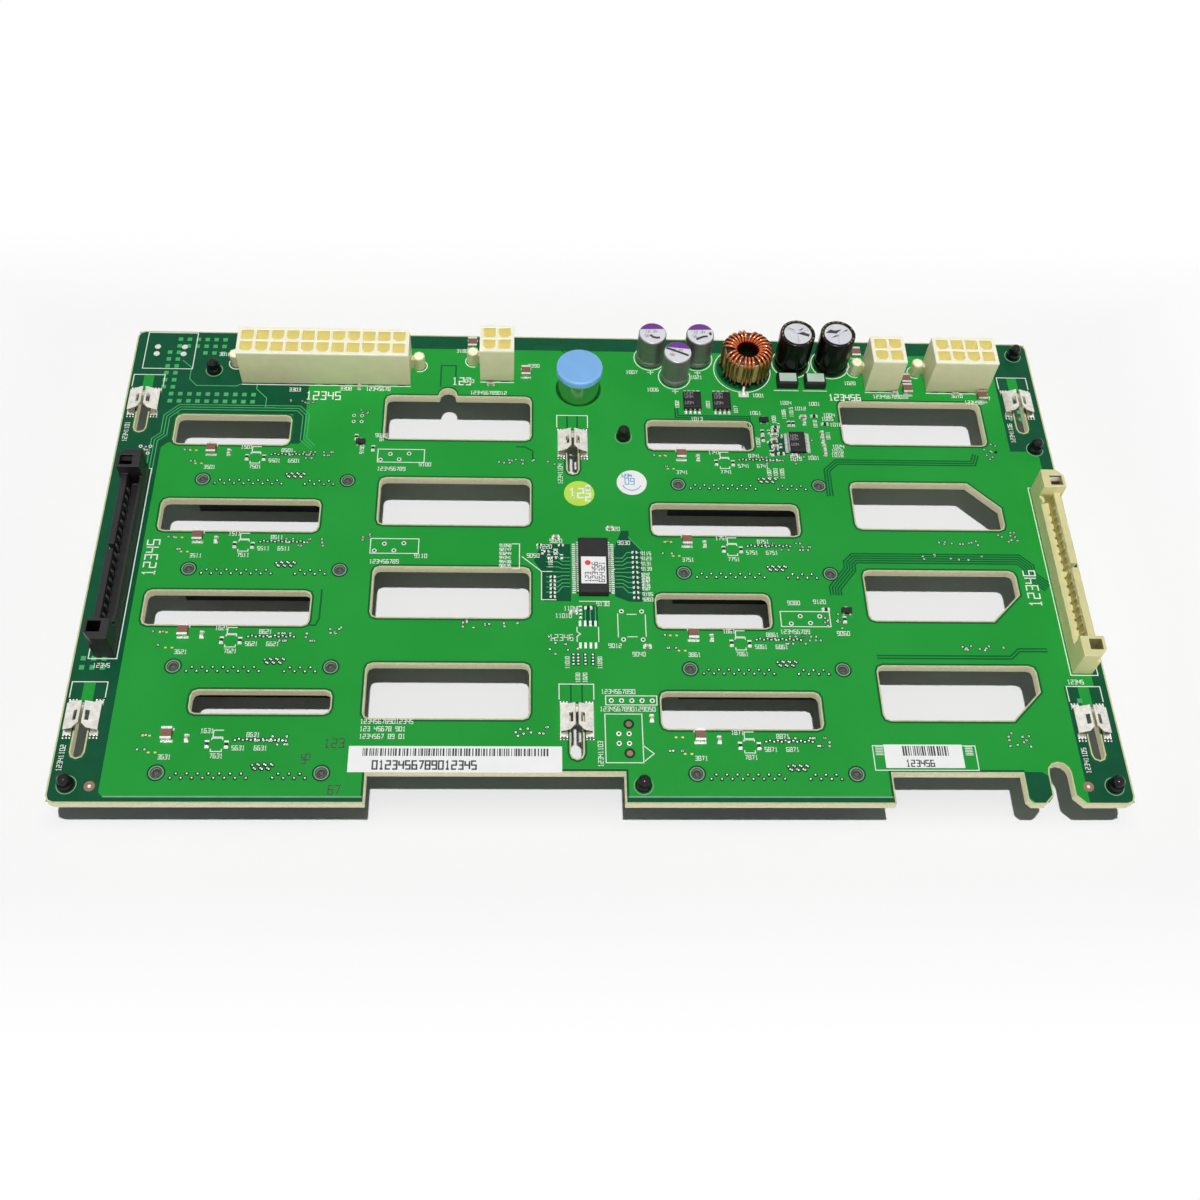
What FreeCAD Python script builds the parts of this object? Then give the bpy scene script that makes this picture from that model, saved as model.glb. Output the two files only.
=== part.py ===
"""Drive backplane board: eight drive sockets under a windowed circuit board, with its sockets and parts on top.

Frame: millimetres, +Z up, X along the board, Y from the lower edge (with the bays) to the upper edge
(with the power sockets). The origin is the middle of the board's outline, at the height of the drive
sockets' lowest faces, on which the board rests.
"""
import FreeCAD, Part
import math
import os
import Sketcher

DOCUMENT_NAME = "DriveBackplane"
PARTS_FOLDER = "parts"

# Millimetres, apart from names that end in _across, _up or _share. Those are shares of the board's width,
# of its depth and of the row pitch, so that every part keeps its place when the board changes its size.
DIMENSIONS = {
    # Circuit board
    "board_width": 259.0,
    "board_depth": 145.5,
    "board_thick": 2.4,
    "board_corner": 2.0,
    "window_corner": 1.5,
    # Rows and columns of drive sockets
    "drive_row_top_up": 0.14062,
    "drive_row_pitch_up": 0.195876,
    "left_column_across": -0.32954,
    "right_column_across": 0.16641,
    # Airflow windows
    "small_window_rise_share": 0.41754,
    "small_window_height_share": 0.34737,
    "left_window_across": -0.44131,
    "left_window_short": 31.3,
    "left_window_long": 41.6,
    "low_window_across": -0.38301,
    "low_window_length": 33.9,
    "low_window_height": 6.1,
    "right_window_across": 0.06178,
    "right_window_short": 29.4,
    "right_window_long": 39.6,
    "large_window_rise_share": 0.50877,
    "large_window_height_share": 0.52632,
    "middle_window_across": -0.22046,
    "middle_window_length": 40.4,
    "far_window_across": 0.27529,
    "far_window_length": 40.3,
    "window_chamfer": 8.0,
    "key_notch_across": -0.15444,
    "key_notch_width": 4.6,
    "key_notch_depth": 2.8,
    # Lower edge
    "bay_depth": 7.95,
    "left_bay_across": -0.2139,
    "left_bay_length": 61.7,
    "right_bay_across": 0.2749,
    "right_bay_length": 32.0,
    "tongue_width": 6.6,
    "mouth_chamfer": 2.3,
    "rail_slot_width": 5.2,
    "rail_slot_depth": 10.75,
    # Hook slots
    "hook_slot_width": 3.0,
    "hook_slot_length": 14.4,
    "hook_left_across": -0.47915,
    "hook_middle_across": -0.01931,
    "hook_right_across": 0.4751,
    "hook_low_up": -0.42062,
    "hook_left_high_up": 0.24948,
    "hook_middle_high_up": 0.1622,
    "hook_right_high_up": 0.27216,
    # Drive sockets
    "drive_height": 8.4,
    "drive_length": 43.0,
    "drive_width": 6.0,
    "drive_slot_length": 34.8,
    "drive_slot_width": 2.4,
    "drive_slot_depth": 5.6,
    "drive_key_length": 1.4,
    "drive_key_width": 1.2,
    "drive_gap_start": 3.2,
    "drive_gap_length": 3.4,
    "drive_guide_length": 2.0,
    "drive_guide_width": 3.4,
    "peg_spacing": 38.74,
    "peg_radius": 1.15,
    "peg_clearance": 0.1,
    "peg_shortfall": 0.3,
    "contact_pitch": 1.27,
    "contact_width": 0.7,
    "contact_bow": 0.4,
    "contact_recess": 1.0,
    "power_contact_x": -16.0,
    "power_contact_count": 15,
    "signal_contact_x": 8.0,
    "signal_contact_count": 7,
    # Power sockets
    "circuit_pitch": 4.2,
    "socket_margin": 0.6,
    "socket_height": 12.8,
    "cell_side": 3.4,
    "cell_chamfer": 0.9,
    "cell_floor": 3.3,
    "pin_side": 1.1,
    "pin_drop": 3.2,
    "arm_radius": 1.7,
    "arm_height": 4.4,
    "arm_reach": 2.2,
    "arm_setback": 7.1,
    "arm_web_width": 1.6,
    "arm_web_height": 3.6,
    "arm_clearance": 0.05,
    "lug_width": 3.0,
    "lug_reach": 1.2,
    "lug_low": 6.0,
    "lug_high": 10.6,
    "main_socket_across": -0.37838,
    "main_socket_drop": 18.75,
    "main_socket_columns": 11,
    "left_media_across": -0.11969,
    "left_media_drop": 16.75,
    "media_columns": 2,
    "right_media_across": 0.30656,
    "right_media_drop": 18.55,
    "fan_socket_step": 17.7,
    "fan_socket_drop": 18.55,
    "fan_socket_columns": 4,
    # Internal cable sockets
    "cable_length": 57.4,
    "cable_width": 5.2,
    "cable_wall_height": 5.0,
    "cable_outer_wall_height": 6.4,
    "cable_floor": 1.6,
    "cable_inner_wall": 0.8,
    "cable_outer_wall": 1.7,
    "cable_split": 1.4,
    "tower_length": 5.8,
    "tower_height": 9.4,
    "tower_overhang": 0.9,
    "tower_chamfer": 2.0,
    "tower_well_length": 3.0,
    "tower_well_width": 3.2,
    "tower_well_depth": 7.6,
    "key_tab_length": 1.8,
    "key_tab_height": 0.9,
    "latch_thick": 0.4,
    "latch_rise": 6.8,
    "cable_contact_count": 16,
    "cable_contact_pitch": 2.54,
    "cable_contact_height": 3.6,
    "right_cable_across": 0.47761,
    "right_cable_up": -0.05945,
    "left_cable_across": -0.47027,
    "left_cable_up": -0.03711,
    # Ground clips
    "clip_width": 8.3,
    "clip_length": 7.0,
    "clip_sheet": 0.25,
    "clip_rise": 2.7,
    "clip_shoulder": 1.1,
    "clip_gap": 0.6,
    "clip_leaf_drop": 1.4,
    "clip_foot_width": 2.0,
    "clip_foot_length": 9.2,
    "clip_bridge": 1.4,
    "clip_window_width": 0.9,
    "clip_window_length": 2.6,
    "clip_window_inset": 0.7,
    "clip_flare": 1.3,
    "clip_above_slot": 10.4,
    # Snap-in posts
    "post_radius": 1.9,
    "post_height": 4.3,
    "post_stem_radius": 1.3,
    "post_flange": 0.8,
    "post_clearance": 0.05,
    "post_inset_x": 4.4,
    "post_inset_y": 4.6,
    "post_left_across": -0.41042,
    "post_left_drop": 14.25,
    "post_middle_across": 0.03552,
    "post_middle_up": 0.25086,
    "post_right_up": 0.2323,
    "post_low_gap": 4.4,
    # Release plunger
    "plunger_across": -0.01197,
    "plunger_drop": 19.65,
    "barrel_radius": 5.7,
    "barrel_height": 8.0,
    "barrel_wall": 1.0,
    "barrel_bore": 3.6,
    "barrel_shank_radius": 4.0,
    "barrel_stake_height": 0.6,
    "press_clearance": 0.03,
    "running_clearance": 0.08,
    "knob_radius": 6.45,
    "knob_height": 2.25,
    "knob_chamfer": 0.4,
    "knob_bore_depth": 1.5,
    "rest_clearance": 0.05,
    "pin_radius": 1.5,
    "pin_reach": 6.4,
    "pin_nose": 0.6,
    "pin_neck_radius": 1.3,
    "pin_neck_reveal": 0.5,
    "collar_radius": 2.9,
    "collar_height": 1.0,
    "spring_radius": 2.35,
    "spring_wire": 0.5,
    "spring_turns": 4.5,
    # Capacitors
    "polymer_radius": 4.0,
    "polymer_height": 10.9,
    "can_sides": 24,
    "can_shoulder": 0.4,
    "electrolytic_radius": 5.0,
    "electrolytic_height": 13.3,
    "polymer_left_step": -61.6,
    "polymer_back_drop": 7.45,
    "polymer_front_step": -54.8,
    "polymer_front_drop": 14.35,
    "polymer_right_step": -48.0,
    "electrolytic_left_step": -20.6,
    "electrolytic_right_step": -9.1,
    "electrolytic_drop": 8.75,
    # Toroid choke
    "choke_step": -34.4,
    "choke_drop": 11.05,
    "core_outer": 6.5,
    "core_inner": 3.5,
    "core_height": 8.2,
    "core_sides": 20,
    "wire_side": 0.9,
    "wire_clearance": 0.12,
    "wire_squeeze": 0.7,
    "choke_lead": 1.5,
    "winding_turns": 18,
    "winding_sweep": 336.0,
    # Flat parts
    "block_length": 6.0,
    "block_width": 4.2,
    "block_height": 2.6,
    "block_bevel": 0.4,
    "block_drop": 18.15,
    "block_left_step": -25.4,
    "block_right_step": -17.4,
    "controller_across": -0.01544,
    "controller_up": -0.10653,
    "controller_width": 7.8,
    "controller_length": 17.0,
    "controller_height": 2.2,
    "chip_bevel": 0.3,
    "regulator_across": 0.21506,
    "regulator_up": 0.21649,
    "regulator_width": 4.4,
    "regulator_length": 7.0,
    "regulator_height": 1.1,
    "switch_width": 5.0,
    "switch_length": 6.0,
    "switch_height": 1.5,
    "switch_drop": 26.55,
    "switch_left_step": -52.7,
    "switch_right_step": -44.3,
    "chip_cap_width": 2.5,
    "chip_cap_length": 3.2,
    "chip_cap_height": 1.7,
    "drive_cap_back": 18.1,
    "drive_cap_rise_share": 0.34035,
    "edge_cap_across": -0.12934,
    "edge_cap_drop": 3.45,
    "media_cap_across": -0.0695,
    "media_cap_drop": 13.85,
    "pair_cap_step": 12.2,
    "pair_cap_low_drop": 18.45,
    "pair_cap_pitch": 3.7,
    "fan_cap_step": 33.6,
    "fan_cap_drop": 20.55,
    "rear_cap_step": -1.2,
    "rear_cap_drop": 4.95,
}


# --------------------------------------------------------------------------------------------------
# Sizes that carry their formula
# --------------------------------------------------------------------------------------------------

class Size(float):
    """A number in millimetres that remembers the sheet formula it was worked out with."""

    def __new__(cls, number, formula=None):
        size = super().__new__(cls, number)
        size.formula = formula or f"{float(number):.6g}"
        return size

    def joined(self, sign, other, number, other_first=False):
        """The result of one sum or product, with its formula in brackets."""
        mine = self.formula
        others = other.formula if isinstance(other, Size) else f"{float(other):.10g}"
        first, second = (others, mine) if other_first else (mine, others)
        return Size(number, f"({first} {sign} ({second}))")

    def __add__(self, other):
        return self.joined("+", other, float(self) + float(other))

    def __radd__(self, other):
        return self.joined("+", other, float(other) + float(self), True)

    def __sub__(self, other):
        return self.joined("-", other, float(self) - float(other))

    def __rsub__(self, other):
        return self.joined("-", other, float(other) - float(self), True)

    def __mul__(self, other):
        return self.joined("*", other, float(self) * float(other))

    def __rmul__(self, other):
        return self.joined("*", other, float(other) * float(self), True)

    def __truediv__(self, other):
        return self.joined("/", other, float(self) / float(other))

    def __neg__(self):
        return Size(-float(self), f"(0 - ({self.formula}))")


doc = FreeCAD.newDocument(DOCUMENT_NAME)
sheet = doc.addObject("Spreadsheet::Sheet", "Dims")


def fill_sheet():
    """Write every driving dimension into the sheet under its alias."""
    for row, (name, number) in enumerate(DIMENSIONS.items(), start=1):
        sheet.set(f"A{row}", name)
        sheet.set(f"B{row}", str(number))
        sheet.setAlias(f"B{row}", name)
    doc.recompute()


fill_sheet()


def dim(name):
    """One driving dimension, with its formula."""
    return Size(float(sheet.get(name)), f"Dims.{name}")


def count(name):
    """A driving dimension that is a whole number of things."""
    return int(round(float(sheet.get(name))))


ZERO = Size(0.0, "0")
BOARD_TOP = dim("drive_height") + dim("board_thick")
BOARD_UNDER = dim("drive_height")
HALF_WIDTH = dim("board_width") / 2
HALF_DEPTH = dim("board_depth") / 2
ROW_PITCH = dim("board_depth") * dim("drive_row_pitch_up")
HALF_TURN = 180.0


def share_x(name):
    """A place along the board: its share of the board's width, from the middle."""
    return dim("board_width") * dim(f"{name}_across")


def share_y(name):
    """A place up the board: its share of the board's depth, from the middle."""
    return dim("board_depth") * dim(f"{name}_up")


def share_of_row(name):
    """A height within one row of drives: its share of the row pitch."""
    return ROW_PITCH * dim(f"{name}_share")


def below_top(name):
    """A place near the upper edge, by how far it lies below that edge."""
    return HALF_DEPTH - dim(f"{name}_drop")


def supply_x(name):
    """A place in the power supply's row, which keeps together: its step from the right media socket."""
    return share_x("right_media") + dim(f"{name}_step")


def bind(target, path, size):
    """Tie a property of an object to the sheet."""
    target.setExpression(path, size.formula if isinstance(size, Size) else f"{float(size):.10g}")


# --------------------------------------------------------------------------------------------------
# Sketches and features
# --------------------------------------------------------------------------------------------------

def new_body(name):
    """An empty body whose label names its file."""
    body = doc.addObject("PartDesign::Body", name)
    body.Label = name
    return body


def new_sketch(body, role, offset=ZERO):
    """A sketch on one of the body's own planes, moved along the plane's normal by the offset."""
    plane = [item for item in body.Origin.OriginFeatures if item.Role == role][0]
    sketch = body.newObject("Sketcher::SketchObject", f"{body.Name}Sketch")
    sketch.AttachmentSupport = (plane, [""])
    sketch.MapMode = "FlatFace"
    bind(sketch, "AttachmentOffset.Base.z", offset)
    return sketch


def draw_outline(sketch, corners):
    """Draw a closed outline of straight sides through the corners, each tied to the sheet."""
    first = sketch.GeometryCount
    points = [FreeCAD.Vector(float(across), float(up), 0) for across, up in corners]
    sides = zip(points, points[1:] + points[:1])
    sketch.addGeometry([Part.LineSegment(start, end) for start, end in sides], False)
    last = first + len(corners)
    joints = []
    measures = []
    for side, (across, up) in enumerate(corners, start=first):
        following = side + 1 if side + 1 < last else first
        joints.append(Sketcher.Constraint("Coincident", side, 2, following, 1))
        measures.append((Sketcher.Constraint("DistanceX", -1, 1, side, 1, float(across)), across))
        measures.append((Sketcher.Constraint("DistanceY", -1, 1, side, 1, float(up)), up))
    sketch.addConstraint(joints)
    indices = sketch.addConstraint([constraint for constraint, _ in measures])
    for index, (_, size) in zip(indices, measures):
        bind(sketch, f"Constraints[{index}]", size)


def rectangle(left, low, length, height):
    """The corners of a rectangle from its lower left corner."""
    return [(left, low), (left + length, low), (left + length, low + height), (left, low + height)]


def many_sided(across, up, radius, sides, start=0.0, span=360.0):
    """Corners spaced evenly on an arc, for small round parts that repeat: few faces stand for the circle."""
    full = span >= 360.0
    corners = []
    for index in range(sides if full else sides + 1):
        angle = math.radians(start + span * index / sides)
        corners.append((across + radius * math.cos(angle), up + radius * math.sin(angle)))
    return corners


def eased(corners, radius):
    """Round every corner of a rectangle that starts at its lower left, with two short sides each."""
    outline = []
    inward = ((1, 1), (-1, 1), (-1, -1), (1, -1))
    for index, ((across, up), (right, high)) in enumerate(zip(corners, inward)):
        centre_x = across + radius * right
        centre_y = up + radius * high
        outline += many_sided(centre_x, centre_y, radius, 2, HALF_TURN + 90.0 * index, 90.0)
    return outline


def pad(body, sketch, length, midplane=False):
    """Raise the sketch into a solid."""
    feature = body.newObject("PartDesign::Pad", f"{body.Name}Pad")
    feature.Profile = sketch
    bind(feature, "Length", length)
    if midplane:
        feature.SideType = "Symmetric"
    return feature


def pocket(body, sketch, depth, reversed_way=False):
    """Sink the sketch into the solid, against the sketch's normal unless reversed."""
    feature = body.newObject("PartDesign::Pocket", f"{body.Name}Pocket")
    feature.Profile = sketch
    bind(feature, "Length", depth)
    feature.Reversed = reversed_way
    return feature


def turned(body, profile):
    """A solid of revolution about Z from (radius, height) corners."""
    sketch = new_sketch(body, "XZ_Plane")
    draw_outline(sketch, profile)
    feature = body.newObject("PartDesign::Revolution", f"{body.Name}Turned")
    feature.Profile = sketch
    feature.ReferenceAxis = (sketch, ["V_Axis"])
    feature.Angle = 360.0
    return feature


def top_edges(shape, height, reach=0.001):
    """Names of the edges that lie flat at the given height."""
    names = []
    for index, edge in enumerate(shape.Edges, start=1):
        box = edge.BoundBox
        if box.ZLength < reach and abs(box.ZMin - height) < reach:
            names.append(f"Edge{index}")
    return names


def chamfered(body, base, edges, size):
    """Chamfer the named edges of a feature."""
    feature = body.newObject("PartDesign::Chamfer", f"{body.Name}Chamfer")
    feature.Base = (base, edges)
    bind(feature, "Size", size)


def place(item, across, along, height):
    """Put a sub-part at its place and tie the place to the sheet."""
    for axis, size in (("x", across), ("y", along), ("z", height)):
        bind(item, f"Placement.Base.{axis}", size)


SUBPARTS = []


def keep(item):
    """Count the object as a sub-part that is written out."""
    SUBPARTS.append(item)
    return item


def shaped(name, shape):
    """A sub-part whose shape is worked out here."""
    item = doc.addObject("Part::Feature", name)
    item.Label = name
    item.Shape = shape
    return keep(item)


def copied(name, master, across, along, height, turn=0.0):
    """A sub-part that repeats a master's shape at another place."""
    item = shaped(name, master.Shape.copy())
    rotation = FreeCAD.Rotation(FreeCAD.Vector(0, 0, 1), turn)
    item.Placement = FreeCAD.Placement(FreeCAD.Vector(across, along, height), rotation)
    return item


# --------------------------------------------------------------------------------------------------
# Places that several sub-parts share
# --------------------------------------------------------------------------------------------------

DRIVE_ROWS = [share_y("drive_row_top") - ROW_PITCH * row for row in range(4)]
DRIVE_PLACES = [(share_x(column), row) for column in ("left_column", "right_column") for row in DRIVE_ROWS]

HOOK_PLACES = [
    (share_x("hook_left"), share_y("hook_left_high")),
    (share_x("hook_middle"), share_y("hook_middle_high")),
    (share_x("hook_right"), share_y("hook_right_high")),
    (share_x("hook_left"), share_y("hook_low")),
    (share_x("hook_middle"), share_y("hook_low")),
    (share_x("hook_right"), share_y("hook_low")),
]

POST_EDGE_X = HALF_WIDTH - dim("post_inset_x")
POST_EDGE_Y = HALF_DEPTH - dim("post_inset_y")
POST_PLACES = [
    (-POST_EDGE_X, -POST_EDGE_Y),
    (share_x("left_bay") + dim("left_bay_length") + dim("post_low_gap"), -POST_EDGE_Y),
    (POST_EDGE_X, -POST_EDGE_Y),
    (POST_EDGE_X, POST_EDGE_Y),
    (POST_EDGE_X, share_y("post_right")),
    (share_x("post_middle"), share_y("post_middle")),
    (share_x("post_left"), below_top("post_left")),
]

# Each power socket: name, corner, columns, the cells with cut corners in the far and near rows, arms.
POWER_SOCKETS = [
    ("main_power_socket", share_x("main_socket"), below_top("main_socket"), count("main_socket_columns"),
     "ssDDssDDssD", "DDssDDssDDs", ("left", "right")),
    ("left_media_socket", share_x("left_media"), below_top("left_media"), count("media_columns"),
     "sD", "Ds", ("left",)),
    ("right_media_socket", share_x("right_media"), below_top("right_media"), count("media_columns"),
     "sD", "Ds", ("left",)),
    ("fan_power_socket", supply_x("fan_socket"), below_top("fan_socket"), count("fan_socket_columns"),
     "DssD", "sDDs", ("left",)),
]


def socket_length(columns):
    """Length of a power socket: its columns of circuits and a margin at each end."""
    return dim("circuit_pitch") * columns + dim("socket_margin") * 2


def arm_offset(columns, side):
    """Where a peg arm stands, measured along X from the socket's left end."""
    if side == "left":
        return -dim("arm_reach")
    return socket_length(columns) + dim("arm_reach")


def arm_places():
    """Every peg arm of the power sockets, in the board's frame."""
    places = []
    for _, across, along, columns, _, _, sides in POWER_SOCKETS:
        for side in sides:
            places.append((across + arm_offset(columns, side), along + dim("arm_setback")))
    return places


# --------------------------------------------------------------------------------------------------
# Circuit board
# --------------------------------------------------------------------------------------------------

def board_outline():
    """The board's outer line, with two bays, a tongue and a rail slot in the lower edge."""
    low = -HALF_DEPTH
    bay = low + dim("bay_depth")
    left_bay = share_x("left_bay")
    right_bay = share_x("right_bay")
    tongue = right_bay + dim("right_bay_length")
    slot_left = tongue + dim("tongue_width")
    slot_right = slot_left + dim("rail_slot_width")
    slot_top = low + dim("rail_slot_depth") - dim("rail_slot_width") / 2
    mouth = dim("mouth_chamfer")
    rail_radius = dim("rail_slot_width") / 2
    round_corner = dim("board_corner")
    far = HALF_WIDTH - round_corner
    top = HALF_DEPTH - round_corner
    return [
        *many_sided(-far, -top, round_corner, 2, HALF_TURN, 90.0),
        (left_bay, low),
        (left_bay, bay),
        (left_bay + dim("left_bay_length"), bay),
        (left_bay + dim("left_bay_length"), low),
        (right_bay, low),
        (right_bay, bay),
        (tongue, bay),
        (tongue, low + mouth / 2),
        (tongue + mouth / 2, low),
        (slot_left - mouth, low),
        (slot_left, low + mouth),
        *many_sided(slot_left + rail_radius, slot_top, rail_radius, 6, HALF_TURN, -HALF_TURN),
        (slot_right, low + mouth),
        (slot_right + mouth, low),
        *many_sided(far, -top, round_corner, 2, 270.0, 90.0),
        *many_sided(far, top, round_corner, 2, 0.0, 90.0),
        *many_sided(-far, top, round_corner, 2, 90.0, 90.0),
    ]


def window(left, low, length, height):
    """One window's outline, with eased corners."""
    return eased(rectangle(left, low, length, height), dim("window_corner"))


def slanted_window(left, low, length, height, slant_above):
    """A window whose right end slants away above or below its middle."""
    cut = dim("window_chamfer")
    outline = window(left, low, length, height)
    right = left + length
    high = low + height
    if slant_above:
        return outline[:6] + [(right, high - cut), (right - cut, high)] + outline[9:]
    return outline[:3] + [(right - cut, low), (right, low + cut)] + outline[6:]


def window_columns():
    """The sixteen airflow windows in four columns, each column's outlines in a list of its own."""
    small_rise = share_of_row("small_window_rise")
    small_height = share_of_row("small_window_height")
    large_rise = share_of_row("large_window_rise")
    large_height = share_of_row("large_window_height")
    low_height = dim("low_window_height")
    low_window_y = DRIVE_ROWS[3] + small_rise + small_height - low_height
    left = [
        window(share_x("left_window"), row + small_rise, dim(length), small_height)
        for row, length in zip(DRIVE_ROWS, ("left_window_short", "left_window_long", "left_window_long"))
    ]
    left.append(window(share_x("low_window"), low_window_y, dim("low_window_length"), low_height))
    right = [
        window(share_x("right_window"), row + small_rise, dim(length), small_height)
        for row, length in zip(DRIVE_ROWS, ("right_window_short", "right_window_long") * 2)
    ]
    middle = [
        window(share_x("middle_window"), row + large_rise, dim("middle_window_length"), large_height)
        for row in DRIVE_ROWS
    ]
    far_x = share_x("far_window")
    far_length = dim("far_window_length")
    far = [window(far_x, DRIVE_ROWS[0] + large_rise, far_length, large_height)]
    for row, slant_above in zip(DRIVE_ROWS[1:], (True, False, False)):
        far.append(slanted_window(far_x, row + large_rise, far_length, large_height, slant_above))
    return [left, right, middle, far]


def cut_through(body, outlines):
    """Cut outlines right through the board."""
    thick = dim("board_thick")
    sketch = new_sketch(body, "XY_Plane", thick)
    for outline in outlines:
        draw_outline(sketch, outline)
    pocket(body, sketch, thick)


def make_board():
    """The circuit board: outline, windows, hook slots and the holes that its parts sit in."""
    body = keep(new_body("circuit_board"))
    thick = dim("board_thick")
    outline = new_sketch(body, "XY_Plane")
    draw_outline(outline, board_outline())
    pad(body, outline, thick)

    for outlines in window_columns():
        cut_through(body, outlines)

    key_radius = dim("key_notch_width") / 2
    key_low = DRIVE_ROWS[0] + share_of_row("large_window_rise") + share_of_row("large_window_height") - dim("window_corner")
    key_high = key_low + dim("window_corner") + dim("key_notch_depth") - key_radius
    key_x = share_x("key_notch")
    cut_through(body, [[
        (key_x - key_radius, key_low),
        (key_x + key_radius, key_low),
        *many_sided(key_x, key_high, key_radius, 6, 0.0, HALF_TURN),
    ]])

    radius = dim("hook_slot_width") / 2
    straight = dim("hook_slot_length") - dim("hook_slot_width")
    cut_through(body, [[
        *many_sided(across, low + radius, radius, 4, HALF_TURN, HALF_TURN),
        *many_sided(across, low + radius + straight, radius, 4, 0.0, HALF_TURN),
    ] for across, low in HOOK_PLACES])

    peg_hole = dim("peg_radius") + dim("peg_clearance")
    for side in (-0.5, 0.5):
        shift = dim("peg_spacing") * side
        cut_through(body, [many_sided(across + shift, along, peg_hole, 6) for across, along in DRIVE_PLACES])
    stem_hole = dim("post_stem_radius") + dim("post_clearance")
    cut_through(body, [many_sided(across, along, stem_hole, 6) for across, along in POST_PLACES])
    arm_hole = dim("arm_radius") + dim("arm_clearance")
    cut_through(body, [many_sided(across, along, arm_hole, 8) for across, along in arm_places()])
    shank_hole = dim("barrel_shank_radius") + dim("press_clearance")
    cut_through(body, [many_sided(share_x("plunger"), below_top("plunger"), shank_hole, 8)])
    place(body, ZERO, ZERO, BOARD_UNDER)


# --------------------------------------------------------------------------------------------------
# Drive sockets, under the board
# --------------------------------------------------------------------------------------------------

def drive_housing():
    """One moulded drive socket, mouth down at height 0, with its two board pegs on top."""
    body = new_body("drive_housing_master")
    length = dim("drive_length")
    width = dim("drive_width")
    height = dim("drive_height")
    outline = new_sketch(body, "XY_Plane")
    draw_outline(outline, rectangle(-length / 2, -width / 2, length, width))
    pad(body, outline, height)

    half_slot = dim("drive_slot_width") / 2
    slot_end = dim("drive_slot_length") / 2
    gap_start = dim("drive_gap_start")
    gap_end = gap_start + dim("drive_gap_length")
    key = dim("drive_key_length")
    key_side = half_slot + dim("drive_key_width")
    mouth = new_sketch(body, "XY_Plane")
    draw_outline(mouth, [
        (-slot_end, -half_slot),
        (slot_end, -half_slot),
        (slot_end, key_side),
        (slot_end - key, key_side),
        (slot_end - key, half_slot),
        (gap_end, half_slot),
        (gap_end, ZERO),
        (gap_start, ZERO),
        (gap_start, half_slot),
        (key - slot_end, half_slot),
        (key - slot_end, key_side),
        (-slot_end, key_side),
    ])
    pocket(body, mouth, dim("drive_slot_depth"), reversed_way=True)

    guides = new_sketch(body, "XY_Plane")
    guide = dim("drive_guide_length")
    guide_width = dim("drive_guide_width")
    draw_outline(guides, rectangle(-length / 2, -guide_width / 2, guide, guide_width))
    draw_outline(guides, rectangle(length / 2 - guide, -guide_width / 2, guide, guide_width))
    pocket(body, guides, dim("drive_slot_depth"), reversed_way=True)

    pegs = new_sketch(body, "XY_Plane", height)
    for side in (-0.5, 0.5):
        draw_outline(pegs, many_sided(dim("peg_spacing") * side, ZERO, dim("peg_radius"), 6))
    pad(body, pegs, dim("board_thick") - dim("peg_shortfall"))
    doc.recompute()
    return body


def bowed_strip(side, middle, low, rise):
    """One contact: a strip that bows out from the wall behind it, seen from its end as a flat triangle.

    The wall is at the given Y, and the contact is centred on the given X.
    """
    left = middle - dim("contact_width") / 2
    profile = [
        FreeCAD.Vector(left, side, low),
        FreeCAD.Vector(left, side + dim("contact_bow"), low + rise * 0.4),
        FreeCAD.Vector(left, side, low + rise),
    ]
    face = Part.Face(Part.makePolygon([*profile, profile[0]]))
    return face.extrude(FreeCAD.Vector(dim("contact_width"), 0, 0))


def drive_contacts():
    """The contact strips of one drive socket, standing along the long side of its slot."""
    strips = []
    side = -dim("drive_slot_width") / 2
    low = dim("contact_recess")
    rise = dim("drive_slot_depth") - low
    rows = (("power_contact_x", "power_contact_count"), ("signal_contact_x", "signal_contact_count"))
    for start, number in rows:
        for index in range(count(number)):
            strips.append(bowed_strip(side, dim(start) + dim("contact_pitch") * index, low, rise))
    return Part.makeCompound(strips)


def make_drive_sockets():
    """Eight drive sockets in two columns of four, each with its contacts."""
    housing = drive_housing()
    contacts = drive_contacts()
    for number, (across, along) in enumerate(DRIVE_PLACES, start=1):
        copied(f"drive_socket_{number}", housing, across, along, ZERO)
    for number, (across, along) in enumerate(DRIVE_PLACES, start=1):
        item = shaped(f"drive_contacts_{number}", contacts.copy())
        item.Placement = FreeCAD.Placement(FreeCAD.Vector(across, along, 0), FreeCAD.Rotation())


# --------------------------------------------------------------------------------------------------
# Power sockets
# --------------------------------------------------------------------------------------------------

def cell_outline(left, low, keyed):
    """One circuit's opening: square, or with its two near corners cut when it is keyed."""
    side = dim("cell_side")
    if not keyed:
        return rectangle(left, low, side, side)
    cut = dim("cell_chamfer")
    return [
        (left + cut, low),
        (left + side - cut, low),
        (left + side, low + cut),
        (left + side, low + side),
        (left, low + side),
        (left, low + cut),
    ]


def cell_corner(column, row):
    """Lower left corner of one circuit's opening; row 0 is the near one."""
    inset = dim("socket_margin") + (dim("circuit_pitch") - dim("cell_side")) / 2
    return inset + dim("circuit_pitch") * column, inset + dim("circuit_pitch") * row


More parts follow.
